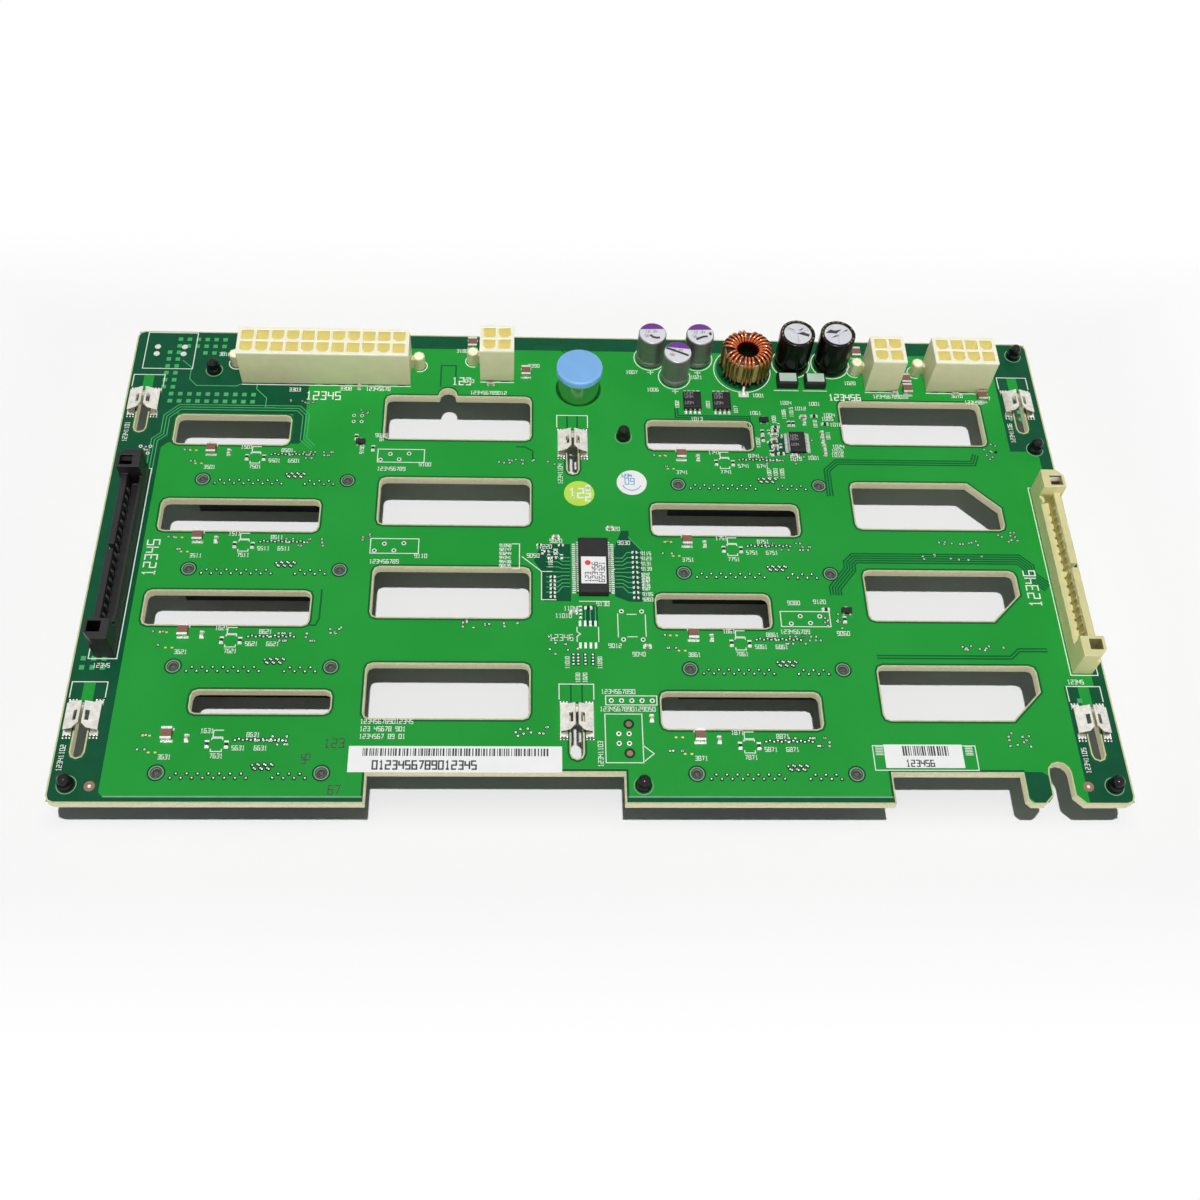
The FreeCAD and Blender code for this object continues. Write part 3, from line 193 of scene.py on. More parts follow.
MASK_SHINE = 0.12
black_plastic = finish("black_plastic", colour(22, 21, 24), 0.4, vary=0.2, skin=0.25, shine=0.3)
chip_black = finish("chip_black", colour(32, 30, 32), 0.5, vary=0.2, skin=0.4, shine=0.2)
silk_white = finish("silk_white", colour(236, 242, 234), 0.6, vary=0.05, grain=9000.0, shine=0.2)
label_white = finish("label_white", colour(240, 241, 240), 0.45, vary=0.02)
label_green = finish("label_green", colour(186, 222, 72), 0.4, vary=0.05)
ink_black = finish("ink_black", colour(20, 20, 22), 0.5, vary=0.1)
ink_blue = finish("ink_blue", colour(120, 170, 215), 0.5, vary=0.2)
ink_red = finish("ink_red", colour(214, 60, 52), 0.5, vary=0.05)
tin = finish("tin", colour(214, 214, 210), 0.28, metal=1.0, vary=0.14, blotch=900.0, skin=0.3)
tin_dull = finish("tin_dull", colour(186, 192, 184), 0.42, metal=1.0, vary=0.16, blotch=1500.0, skin=0.4)
gold = finish("gold", colour(222, 186, 110), 0.3, metal=1.0, vary=0.1)
clip_tin = finish("clip_tin", colour(222, 220, 212), 0.25, metal=1.0, vary=0.12, blotch=700.0, skin=0.12)
steel = finish("steel", colour(196, 192, 180), 0.3, metal=1.0, vary=0.1)
brown_ceramic = finish("brown_ceramic", colour(122, 78, 62), 0.45, vary=0.15)
grey_ceramic = finish("grey_ceramic", colour(178, 166, 150), 0.45, vary=0.15)
mask_green = finish("mask_green", colour(33, 152, 56), 0.34, vary=0.04, skin=0.1, shine=MASK_SHINE)
mask_dark = finish("mask_dark", colour(6, 80, 50), 0.34, vary=0.08, skin=0.1, shine=MASK_SHINE)
mask_deep = finish("mask_deep", colour(9, 54, 34), 0.4, vary=0.08, shine=MASK_SHINE)
mask_line = finish("mask_line", colour(10, 92, 50), 0.34, vary=0.08, skin=0.1, shine=MASK_SHINE)
mask_pale = finish("mask_pale", colour(74, 176, 104), 0.34, vary=0.08, skin=0.1, shine=MASK_SHINE)
mask_edge = finish("mask_edge", colour(128, 172, 140), 0.45, vary=0.1, shine=MASK_SHINE)
bare_rim = finish("bare_rim", colour(196, 198, 150), 0.6, vary=0.12, blotch=900.0, skin=0.5)
print("plain finishes:", len(bpy.data.materials))

# %% [markdown]
# ## The board's own finish
# The board is one CAD solid with two looks. Its faces wear a glossy green mask, while its sawn edges
# show bare glass laminate. The surface normal tells them apart: on the faces it points straight up or
# down. A very fine noise in the edge colour stands for the cut fibres. A little emission lifts the edges:
# it is painted light, standing in for light that bare laminate lets through from inside. The underside
# is a darker green, painted shade that keeps its bounce light out of the shadow below the board.
# %% Green mask with bare edges
LAMINATE_PAINTED_GLOW = 0.36
LAMINATE_ROUGHNESS = 0.7
MASK_ROUGHNESS = 0.34


def make_board_finish():
    """Green where the normal is upright, darker below as painted shade, and beige laminate where it lies
    flat, with a painted glow.
    """
    material, tree, shader, place = new_material("board_mask")
    geometry = tree.nodes.new("ShaderNodeNewGeometry")
    upward = split_xyz(tree, geometry.outputs["Normal"])["Z"]
    flat = math_node(tree, "GREATER_THAN", math_node(tree, "ABSOLUTE", upward), 0.5)
    green = ramp(tree, noise(tree, place, 34.0, 4.0), [
        (0.3, colour(29, 148, 52)),
        (0.7, colour(38, 156, 60)),
    ])
    fibres = ramp(tree, noise(tree, place, 2600.0, 2.0), [
        (0.35, colour(160, 156, 130)),
        (0.65, colour(178, 174, 150)),
    ])
    # Painted shade: downward faces get a darker green, so less green light bounces into the shadow below.
    below = math_node(tree, "LESS_THAN", upward, -0.5)
    faces = mix(tree, below, green, colour(14, 78, 44))
    tree.links.new(mix(tree, flat, fibres, faces), shader.inputs["Base Color"])
    shader.inputs["Emission Color"].default_value = colour(214, 210, 172)
    # Painted light: this emission makes the laminate edges glow, though they are no lamp.
    glow = math_node(tree, "MULTIPLY_ADD", flat, -LAMINATE_PAINTED_GLOW, LAMINATE_PAINTED_GLOW)
    tree.links.new(glow, shader.inputs["Emission Strength"])
    rough = math_node(tree, "MULTIPLY_ADD", flat, MASK_ROUGHNESS - LAMINATE_ROUGHNESS, LAMINATE_ROUGHNESS)
    tree.links.new(rough, shader.inputs["Roughness"])
    shader.inputs["Specular IOR Level"].default_value = MASK_SHINE
    bump(tree, shader, noise(tree, place, 900.0, 2.0), 0.06)
    return material


board_mask = make_board_finish()

# %% [markdown]
# ## Dressing the CAD parts
# A CAD part keeps its mesh and takes a better material. The table below says which finish each one
# wears; the loop looks for the longest matching name. The cells of the power sockets wear painted
# light: a little emission makes their lining glow, standing in for light that thin nylon walls let through.
# %% Moulded ivory, with painted shade lower down and a painted highlight on its rim
SOCKET_HEIGHT = 12.6


def make_ivory():
    """Natural nylon with painted light: darker towards the board and in its cells as painted shade,
    and near white on the top rim as a painted highlight.
    """
    material, tree, shader, place = new_material("ivory_nylon")
    height = math_node(tree, "SUBTRACT", split_xyz(tree, place)["Z"], float(TOP) * MM)
    # Painted shade and highlight: the colour darkens from the rim down to the board, and the rim is near
    # white.
    painted_light_by_height = tree.nodes.new("ShaderNodeMapRange")
    tree.links.new(height, painted_light_by_height.inputs["Value"])
    painted_light_by_height.inputs["From Max"].default_value = SOCKET_HEIGHT * MM
    body = ramp(tree, painted_light_by_height.outputs["Result"], [
        (0.0, colour(214, 209, 168)),
        (0.95, colour(222, 218, 178)),
        (1.0, colour(250, 248, 226)),
    ])
    drift = ramp(tree, noise(tree, place, 300.0), [(0.3, (0.94, 0.94, 0.94, 1)), (0.7, (1, 1, 1, 1))])
    product = mix(tree, 1.0, body, drift)
    product.node.blend_type = "MULTIPLY"
    tree.links.new(product, shader.inputs["Base Color"])
    shader.inputs["Roughness"].default_value = 0.42
    shader.inputs["Subsurface Weight"].default_value = 0.12
    shader.inputs["Subsurface Radius"].default_value = (0.004, 0.003, 0.0015)
    shader.inputs["Subsurface Scale"].default_value = 0.4
    bump(tree, shader, noise(tree, place, 2500.0, 2.0), 0.12)
    return material


ivory_nylon = make_ivory()
cell_painted_glow = finish("cell_painted_glow", colour(238, 230, 180), 0.5, vary=0.03, skin=0.1)
cell_shader = cell_painted_glow.node_tree.nodes["Principled BSDF"]
# Painted light: the cell lining glows by a little emission, though it is no lamp.
cell_shader.inputs["Emission Color"].default_value = colour(224, 214, 146)
cell_shader.inputs["Emission Strength"].default_value = 0.3
# A paler copy of the nylon: a painted highlight for the tops of the arms.
ivory_painted_highlight = finish("ivory_painted_highlight", colour(248, 245, 218), 0.4, vary=0.03, shine=0.3)
ivory_plain = finish("ivory_plain", colour(216, 210, 156), 0.42, vary=0.05, shine=0.3)
knob_blue = finish("knob_blue", colour(122, 176, 230), 0.42, vary=0.03, skin=0.1)
aluminium = finish("aluminium", colour(205, 205, 204), 0.3, metal=1.0, vary=0.1, blotch=1200.0)

CAD_FINISHES = {
    "circuit_board": board_mask,
    "drive_socket": black_plastic,
    "drive_contacts": gold,
    "main_power_socket": ivory_nylon,
    "left_media_socket": ivory_nylon,
    "right_media_socket": ivory_nylon,
    "fan_power_socket": ivory_nylon,
    "power_pins": tin,
    "right_cable_socket": ivory_plain,
    "left_cable_socket": black_plastic,
    "right_cable_contacts": ivory_plain,
    "left_cable_contacts": tin_dull,
    "right_cable_latches": steel,
    "left_cable_latches": black_plastic,
    "ground_clip": tin,
    "snap_in_posts": black_plastic,
    "plunger_barrel": steel,
    "plunger_knob": knob_blue,
    "plunger_pin": steel,
    "plunger_spring": steel,
    "polymer_capacitor": aluminium,
    "electrolytic_capacitor": black_plastic,
    "choke_core": grey_ceramic,
    "choke_winding": gold,
    "chip_capacitors": brown_ceramic,
    "controller_chip": chip_black,
    "regulator_chip": chip_black,
    "power_switch": chip_black,
    "diode_block": chip_black,
}


def dress_cad():
    """Give every CAD node the finish with the longest name that begins its own."""
    for name, node in nodes.items():
        wanted = max((key for key in CAD_FINISHES if name.startswith(key)), key=len)
        node.data.materials.clear()
        node.data.materials.append(CAD_FINISHES[wanted])
    print("CAD nodes dressed:", len(nodes))


dress_cad()

# %% [markdown]
# ## Meshes from arrays
# Each new piece is computed as whole arrays of points and faces, in millimetres, and turned to metres
# when it becomes a mesh. One helper does that last step for all of them: it links the object, gives
# it its material, and lets it ride with the board.
# %% From arrays to a piece


def make_piece(name, points, faces, material, body="board", smooth=False):
    """A mesh object from points in millimetres and a list of faces, riding on a CAD body."""
    mesh = bpy.data.meshes.new(name)
    mesh.from_pydata((np.asarray(points, float) * MM).tolist(), [], [list(map(int, face)) for face in faces])
    mesh.materials.append(material)
    mesh.polygons.foreach_set("use_smooth", np.full(len(mesh.polygons), smooth))
    mesh.update()
    piece = bpy.data.objects.new(name, mesh)
    bpy.context.scene.collection.objects.link(piece)
    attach(piece, body)
    return piece


CUBE_CORNERS = np.array([[x, y, z] for z in (0, 1) for x, y in ((-1, -1), (1, -1), (1, 1), (-1, 1))], float)
CUBE_FACES = np.array([[3, 2, 1, 0], [4, 5, 6, 7], [0, 1, 5, 4], [1, 2, 6, 5], [2, 3, 7, 6], [3, 0, 4, 7]])


def blocks(rows):
    """Upright blocks from rows of middle x, middle y, low z, width, length and height.

    Each corner is the middle plus or minus half the size, so one product makes all corners at once.
    """
    rows = np.atleast_2d(np.asarray(rows, float))
    half = np.stack([rows[:, 3] / 2, rows[:, 4] / 2, rows[:, 5]], axis=1)
    points = rows[:, None, :3] + CUBE_CORNERS[None] * half[:, None]
    faces = CUBE_FACES[None] + 8 * np.arange(len(rows))[:, None, None]
    return points.reshape(-1, 3), faces.reshape(-1, 4)


def make_blocks(name, rows, material):
    """A piece of many blocks."""
    points, faces = blocks(rows)
    return make_piece(name, points, faces, material)


def joined(forms):
    """Many forms of points and faces as one: each form's faces count on from the points before it."""
    points, faces, start = [], [], 0
    for more, fresh in forms:
        points.append(more)
        faces += [[item + start for item in face] for face in fresh]
        start += len(more)
    return np.concatenate(points), faces


def grid_quads(rows, columns, closed):
    """Faces between neighbouring rows of a grid whose columns run round; closed rows run round as well."""
    row = np.arange(rows if closed else rows - 1)[:, None]
    onward = (row + 1) % rows * columns
    item = np.arange(columns)[None]
    after = (item + 1) % columns
    row = row * columns
    return np.stack([row + item, row + after, onward + after, onward + item], axis=-1).reshape(-1, 4)


def make_dots(name, centres, radius, low, height, material, sides, dome=0.0):
    """Many small round studs at once: a ring of points round each centre, low and high, and a middle.

    Points are centre + radius * (cos a, sin a); the middle of the top stands up by the dome.
    """
    centres = np.atleast_2d(np.asarray(centres, float))
    angle = np.arange(sides) * 2 * np.pi / sides
    ring = np.stack([np.cos(angle), np.sin(angle)], axis=1) * radius
    level = np.zeros((len(centres), 2 * sides + 1, 3))
    level[:, :sides, :2] = centres[:, None] + ring
    level[:, sides:-1, :2] = centres[:, None] + ring * (0.75 if dome else 1.0)
    level[:, -1, :2] = centres
    level[:, :sides, 2] = low
    level[:, sides:-1, 2] = low + height
    level[:, -1, 2] = low + height + dome
    side = np.arange(sides)
    after = (side + 1) % sides
    walls = np.stack([side, after, after + sides, side + sides], axis=1)
    caps = np.stack([side + sides, after + sides, np.full(sides, 2 * sides)], axis=1)
    faces = []
    for index in range(len(centres)):
        start = index * (2 * sides + 1)
        faces += (walls + start).tolist() + (caps + start).tolist()
    return make_piece(name, level.reshape(-1, 3), faces, material, smooth=bool(dome))


def mitres(path, closed):
    """Sideways steps of one unit at every point of a path.

    A step is the sum of the normals before and after the point, divided by one plus their dot product.
    """
    ahead = np.roll(path, -1, axis=0) - path
    ahead /= np.linalg.norm(ahead, axis=1, keepdims=True) + 1e-12
    normal = np.stack([-ahead[:, 1], ahead[:, 0]], axis=1)
    if not closed:
        normal[-1] = normal[-2]
    before = np.roll(normal, 1, axis=0)
    if not closed:
        before[0] = normal[0]
    share = 1.0 + (normal * before).sum(axis=1, keepdims=True)
    return (normal + before) / np.maximum(share, 0.3)


def stroke_mesh(paths, width):
    """Flat ribbons along paths of (x, y) points, half the width to each side and mitred where they turn."""
    ribbons = []
    for path in paths:
        path = np.asarray(path, float)
        closed = len(path) > 2 and np.allclose(path[0], path[-1])
        if closed:
            path = path[:-1]
        sideways = mitres(path, closed) * width / 2
        number = len(path)
        index = np.arange(number if closed else number - 1)
        following = (index + 1) % number
        quads = np.stack([index + number, following + number, following, index], axis=1)
        ribbons.append((np.vstack([path + sideways, path - sideways]), quads.tolist()))
    return joined(ribbons)


def raised_strokes(name, paths, width, height, material):
    """A piece of flat ribbons at any height."""
    flat, faces = stroke_mesh(paths, width)
    return make_piece(name, np.column_stack([flat, np.full(len(flat), height)]), faces, material)


def make_strokes(name, paths, width, lift, material):
    """A piece of flat ribbons lying just above the board."""
    return raised_strokes(name, paths, width, TOP + lift, material)


def raised_fields(name, outlines, height, material):
    """Flat fields of colour from outlines, at any height."""
    points, faces = [], []
    for outline in outlines:
        start = len(points)
        points += [(x, y, height) for x, y in outline]
        faces.append(range(start, start + len(outline)))
    return make_piece(name, points, faces, material)


def make_fields(name, outlines, lift, material):
    """Flat fields of colour lying just above the board."""
    return raised_fields(name, outlines, TOP + lift, material)


def box_corners(left, low, right, high):
    """The four corners of a rectangle, counter-clockwise."""
    return [(left, low), (right, low), (right, high), (left, high)]


def box_outline(left, low, right, high):
    """A closed rectangle as a path."""
    return box_corners(left, low, right, high) + [(left, low)]


# %% [markdown]
# ## The bare rim
# The mask stops a little short of every sawn edge, so a pale line runs round the outline, the windows
# and the slots. The CAD mesh itself says where: an edge of the board's top face that borders a side
# wall is an outer edge. Following those edges from end to end gives closed loops to draw ribbons along.
# %% Find the loops of the top face


def top_loops(node):
    """Closed loops of the edges that only one triangle of the top face uses."""
    mesh = node.data
    spots = np.round(points_of(mesh), 3)
    _, first, same = np.unique(spots, axis=0, return_index=True, return_inverse=True)
    same = same.ravel()
    triangles = np.empty(len(mesh.loops), int)
    mesh.loops.foreach_get("vertex_index", triangles)
    triangles = same[triangles].reshape(-1, 3)
    height = spots[first][:, 2]
    top = triangles[(height[triangles] > height.max() - 0.01).all(axis=1)]
    sides = np.concatenate([top[:, [0, 1]], top[:, [1, 2]], top[:, [2, 0]]])
    known = {tuple(side) for side in sides.tolist()}
    onward = {start: end for start, end in known if (end, start) not in known}
    loops = []
    while onward:
        start, end = onward.popitem()
        loop = [start, end]
        while end in onward:
            end = onward.pop(end)
            loop.append(end)
        loops.append(spots[first][loop][:, :2])
    return loops


board_loops = top_loops(nodes["circuit_board"])
long_loops = [loop for loop in board_loops if np.ptp(loop, axis=0).max() > 12.0]
print("loops in the board's top face:", len(board_loops), "of which cut-outs and outline:", len(long_loops))

# %% Draw the rim, and a darker band inside the windows' edges


def inset(loop, distance):
    """Move a closed loop sideways into the board, keeping its corners mitred."""
    ring = loop[:-1]
    moved = ring + mitres(ring, True) * distance
    return np.vstack([moved, moved[:1]])


RIM = 0.36
make_strokes("board_rim", [inset(loop, RIM / 2) for loop in long_loops], RIM, 0.030, bare_rim)
window_loops = [loop for loop in long_loops if 12.0 < np.ptp(loop, axis=0).max() < 100.0]
make_strokes("window_band", [inset(loop, 0.62) for loop in window_loops], 0.5, 0.026, mask_line)

# %% [markdown]
# ## Dark fields
# Where the copper below stops, the mask looks darker. Those fields are flat outlines a few hundredths
# of a millimetre above the mask, which is thinner than the real coat and still clear of it.
# %% Fields of darker mask

LEFT_EDGE = WEST + 0.4
RIGHT_EDGE = EAST - 0.4
HIGH_EDGE = NORTH - 0.4
LOW_EDGE = SOUTH + 0.4
FIELD_LIFT = 0.012
WINDOW_SIDE = -114.6

slot_loops = [loop for loop in long_loops if np.ptp(loop[:, 0]) < 4.5 and np.ptp(loop[:, 1]) > 9.0]


def field_beside_slots(left, low, right, high):
    """A dark rectangle in two halves that meet on the slots' middle line and follow the slots' edges."""
    inside = [loop[:-1] for loop in slot_loops
              if left < loop[:, 0].mean() < right and low < loop[:, 1].mean() < high]
    inside.sort(key=lambda loop: loop[:, 1].mean())
    halves = []
    for side, edge in ((-1, left), (1, right)):
        line = [(inside[0][:, 0].mean(), low)]
        for loop in inside:
            middle = loop[:, 0].mean()
            half = loop[(loop[:, 0] - middle) * side >= -0.01]
            line += [tuple(point) for point in half[np.argsort(half[:, 1])]]
        line.append((inside[-1][:, 0].mean(), high))
        halves.append(line + [(edge, high), (edge, low)])
    return halves


dark_fields = field_beside_slots(LEFT_EDGE, LOW_EDGE, -117.4, HIGH_EDGE)
dark_fields += field_beside_slots(118.2, LOW_EDGE, RIGHT_EDGE, -41.0)
dark_fields += field_beside_slots(118.0, 33.0, RIGHT_EDGE, HIGH_EDGE)
dark_fields += [
    [(-117.4, 43.0), (-79.2, 43.0), (-79.2, HIGH_EDGE), (-117.4, HIGH_EDGE)],
    [(-117.4, 31.0), (-115.6, 32.7), (WINDOW_SIDE, 32.7), (WINDOW_SIDE, 43.0), (-117.4, 43.0)],
    [(-82.6, 32.7), (-80.4, 32.7), (-79.2, 34.0), (-79.2, 43.0), (-82.6, 43.0)],
    [(-79.2, 67.6), (118.0, 67.6), (118.0, HIGH_EDGE), (-79.2, HIGH_EDGE)],
    [(-117.4, LOW_EDGE), (-55.9, LOW_EDGE), (-55.9, -71.3), (-116.2, -71.3), (-117.4, -70.0)],
    [(6.9, LOW_EDGE), (70.7, LOW_EDGE), (70.7, -71.2), (6.9, -71.2)],
    [(103.7, -71.0), (105.0, LOW_EDGE), (108.2, LOW_EDGE), (109.4, -71.0), (109.4, -65.4), (108.0, -64.4),
     (103.7, -64.4)],
    [(RIGHT_EDGE - 3.2, -41.0), (RIGHT_EDGE, -41.0), (RIGHT_EDGE, 33.0), (RIGHT_EDGE - 3.2, 33.0)],
]
dark_fields += [
    [(-13.6, 0.6), (-6.0, 0.6), (-6.0, -17.0), (-12.8, -17.0), (-13.6, -16.0), (-13.6, -8.0), (-15.6, -4.6)],
    [(5.4, -1.4), (6.2, 1.2), (7.6, 5.0), (9.6, 5.0), (9.6, 2.6), (13.0, -1.6), (13.0, -17.0), (9.0, -17.0),
     (5.4, -15.4)],
    [(-3.0, -18.2), (0.8, -18.2), (0.8, -24.2), (-3.0, -24.2)],
    [(49.6, 35.0), (55.4, 38.6), (55.4, 31.4), (50.6, 30.4)],
]
make_fields("dark_fields", dark_fields, FIELD_LIFT, mask_dark)
CLIP_STRIP = 2.8
STRIP_LOW, STRIP_HIGH = 6.4, 12.8
strips = [box_corners(x - CLIP_STRIP / 2, y + STRIP_LOW, x + CLIP_STRIP / 2, y + STRIP_HIGH)
          for x, y in SLOTS if abs(x) > 100]
make_fields("clip_strips", strips, 0.018, mask_green)
strip_edges = [[(x + side, y + STRIP_LOW), (x + side, y + STRIP_HIGH)]
               for x, y in SLOTS for side in (-CLIP_STRIP / 2, CLIP_STRIP / 2) if abs(x) < 100]
make_strokes("clip_strip_edges", strip_edges, 0.4, 0.018, mask_line)


def grid_squares(left, low, columns, rows, pitch=2.54, side=1.25):
    """Corners for a field of small squares whose first middle is at the left and low ends."""
    across, up = np.meshgrid(left + pitch * np.arange(columns), low + pitch * np.arange(rows))
    return [box_corners(x - side / 2, y - side / 2, x + side / 2, y + side / 2)
            for x, y in zip(across.flat, up.flat)]


squares = []
for field in [
    (-117.2, 67.3, 6, 2), (-109.6, 64.8, 3, 1), (-117.2, 47.2, 10, 2), (-119.6, 52.2, 2, 6),
    (82.4, 70.0, 2, 1), (112.0, 69.4, 3, 1), (120.6, 44.6, 2, 3), (-126.9, -37.0, 3, 2),
    (121.4, -45.0, 1, 1),
]:
    squares += grid_squares(*field)
make_fields("copper_squares", squares, 0.02, mask_pale)

# %% [markdown]
# ## Traces under the mask
# Bundles of traces run side by side with the same corners. A bundle is one path moved sideways several
# times, and the mitre rule keeps the spacing even round the corners.
# %% Trace bundles


def bundle(path, number, pitch):
    """Copies of an open path, moved sideways by a pitch each and mitred at the corners."""
    path = np.asarray(path, float)
    sideways = mitres(path, False) * pitch
    return [path + sideways * index for index in range(number)]


pale_traces = bundle([(-118.6, 22.0), (-118.6, 33.2), (-116.4, 35.2), (-116.4, 41.4), (-113.6, 44.2),
                      (-81.6, 44.2), (-79.9, 42.4), (-79.9, 34.0), (-77.0, 31.0)], 3, 0.85)
FAN_MIDDLE = -8.2
FAN_SQUEEZE = 0.72
for step in range(9):
    row = -1.9 - 1.55 * step
    near = FAN_MIDDLE + (row - FAN_MIDDLE) * FAN_SQUEEZE
    pale_traces += [[(5.6, near), (7.6, near), (9.0, row), (12.2, row)]]
    pale_traces += [[(-6.2, near), (-8.2, near), (-9.4, row), (-12.4, row)]]
pale_traces += [[(x, -18.4), (x, -22.8)] for x in (-2.4, -1.1, 0.2)] + [[(9.4, 3.0), (13.0, -1.4)]]
pale_traces += [[(-93.7, 53.4), (-93.7, 51.8), (-90.6, 48.6), (-90.6, 45.2), (-87.8, 45.2)]]
pale_traces += [[(-115.6, 62.0), (-112.8, 59.4), (-112.8, 55.2), (-110.6, 52.8), (-99.4, 52.8),
                 (-98.0, 53.6)]]
make_strokes("pale_traces", pale_traces, 0.26, 0.022, mask_pale)

dark_traces = []
for path, number, pitch in [
    ([(66.0, 17.0), (66.0, 25.4), (68.6, 27.9), (107.2, 27.9), (108.6, 31.4)], 3, 0.75),
    ([(61.8, -14.6), (61.8, -11.8), (66.4, -6.0), (66.4, -4.0), (68.8, -1.6), (114.0, -1.6), (117.4, -4.8),
      (117.4, -7.4), (121.0, -10.6)], 5, -0.72),
    ([(71.6, -33.2), (106.4, -33.2), (108.8, -31.0), (116.0, -31.0)], 2, 0.8),
    ([(-4.6, 62.0), (-4.6, 66.2), (-8.0, 69.0), (-15.6, 69.0)], 2, 0.9),
    ([(-16.0, 27.4), (-16.0, 31.2), (-18.2, 32.6), (-20.6, 32.6)], 1, 0.8),
    ([(-73.4, -24.6), (-70.8, -24.6), (-70.0, -22.6), (-70.0, -14.0)], 1, 0.8),
    ([(-42.2, 53.6), (-42.2, 61.4), (-38.0, 61.4), (-38.0, 53.6)], 1, 0.8),
    ([(24.2, 47.0), (24.2, 43.6), (44.6, 43.6), (44.6, 40.6)], 2, 0.7),
]:
    dark_traces += bundle(path, number, pitch)
make_strokes("dark_traces", dark_traces, 0.42, 0.018, mask_line)
BAY_TOP = -64.25
bay_bands = [[(-55.95, LOW_EDGE), (-55.95, BAY_TOP), (6.85, BAY_TOP), (6.85, LOW_EDGE)],
             [(70.65, LOW_EDGE), (70.65, BAY_TOP), (103.7, BAY_TOP)]]
make_strokes("bay_bands", bay_bands, 0.7, 0.02, mask_dark)
glints = [[(-116.2, -71.1), (-56.0, -71.1)], [(7.0, -71.0), (70.6, -71.0)]]
make_strokes("edge_glints", glints, 0.36, 0.024, mask_edge)

# %% [markdown]
# ## Plain numbers
# Small white numbers stand beside the parts. They are drawn as strokes on a grid two units wide and
# four high, so a digit is a few short ribbons and not a font with hundreds of corners.
# %% A stroke alphabet of ten digits

DIGITS = {
    "0": [[(0, 0), (2, 0), (2, 4), (0, 4), (0, 0)]],
    "1": [[(0.4, 3.2), (1, 4), (1, 0)], [(0.3, 0), (1.7, 0)]],
    "2": [[(0, 4), (2, 4), (2, 2), (0, 2), (0, 0), (2, 0)]],
    "3": [[(0, 4), (2, 4), (2, 0), (0, 0)], [(0.4, 2), (2, 2)]],
    "4": [[(0, 4), (0, 2), (2, 2)], [(2, 4), (2, 0)]],
    "5": [[(2, 4), (0, 4), (0, 2), (2, 2), (2, 0), (0, 0)]],
    "6": [[(2, 4), (0, 4), (0, 0), (2, 0), (2, 2), (0, 2)]],
    "7": [[(0, 4), (2, 4), (0.8, 0)]],
    "8": [[(0, 0), (2, 0), (2, 4), (0, 4), (0, 0)], [(0, 2), (2, 2)]],
    "9": [[(2, 2), (0, 2), (0, 4), (2, 4), (2, 0), (0, 0)]],
    " ": [],
}


def number_strokes(text, left, low, height, turned=False):
    """Strokes of a row of digits; turned rows climb along Y."""
    unit = height / 4.0
    strokes = []
    for position, digit in enumerate(text):
        for stroke in DIGITS[digit]:
            local = np.array(stroke, float) * unit + (position * 3.0 * unit, 0.0)
            if turned:
                local = np.stack([-local[:, 1], local[:, 0]], axis=1)
            strokes.append(local + (left, low))
    return strokes


small_numbers = []
for index, (x, y) in enumerate(DRIVES):
    tens = str(50 + 10 * (index // 2) + index)
    for lead, left, low in (("3", -19.6, 3.5), ("1", -10.3, 10.4), ("7", -7.4, 3.8), ("5", -2.4, 5.9),
                            ("6", 2.9, 5.9), ("8", 0.8, 9.4)):
        small_numbers += number_strokes(lead + tens + "1", x + left, y + low, 1.1)
for x, y, text in [
    (10.8, 59.4, "1007"), (16.6, 53.0, "1006"), (29.4, 57.8, "1021"), (46.8, 51.4, "1001"),
    (28.6, 42.6, "1013"), (54.4, 48.8, "1004"), (62.6, 48.6, "1001"), (-84.6, 51.2, "3303"),
    (-70.4, 51.8, "3308"), (-63.0, 51.8, "12345678"), (-33.6, 51.0, "123456789012"),
    (-58.2, 24.0, "123456789"), (-58.4, -5.9, "123456789"), (47.6, -26.2, "123456789"),
    (1.2, -43.6, "1234567890"), (0.8, -48.4, "123456789012"), (3.4, -30.6, "9012"), (9.4, -33.0, "9040"),
    (4.0, 5.0, "9120"), (6.6, 0.6, "9030"), (-11.4, 1.0, "9020"), (-15.0, -0.8, "11220"),
    (-17.4, -3.7, "9050"), (-7.8, -19.7, "11040"), (-10.0, -21.9, "11010"), (0.6, -18.3, "9130"),
    (81.6, 51.6, "123456789012"), (108.0, 49.9, "1234567"), (104.4, 52.2, "3010"), (112.4, 51.4, "1017"),
    (73.8, 56.4, "1020"), (55.4, 29.0, "1019"), (60.4, 29.4, "1001"), (50.2, -17.6, "9080"),
    (57.0, -17.2, "9120"), (62.2, -26.6, "9060"), (-59.4, 35.4, "9010"), (-47.0, 25.6, "9100"),
    (-46.8, -4.1, "9110"), (-38.0, 66.4, "3180"), (-17.4, 61.2, "3390"), (-105.6, 63.8, "3010"),
    (11.2, -48.4, "9050"), (66.4, 44.6, "1004"), (65.8, 43.2, "1005"), (68.0, 41.2, "1018"),
    (67.8, 33.4, "1024"), (67.4, 31.9, "1016"), (67.2, 30.4, "1018"), (58.4, 46.8, "1012"),
    (45.4, 45.0, "1061"), (-124.2, -37.0, "12345"), (119.4, -40.3, "12345"), (-36.0, 55.2, "3040"),
    (91.0, 69.0, "310"), (-57.6, -54.0, "123 45678 901"), (-57.6, -56.0, "1234567 89 01"),
    (-57.6, -52.0, "123456789012345"),
]:
    small_numbers += number_strokes(text, x, y, 1.15)
small_numbers += number_strokes("12345", -11.6, -28.6, 1.7)
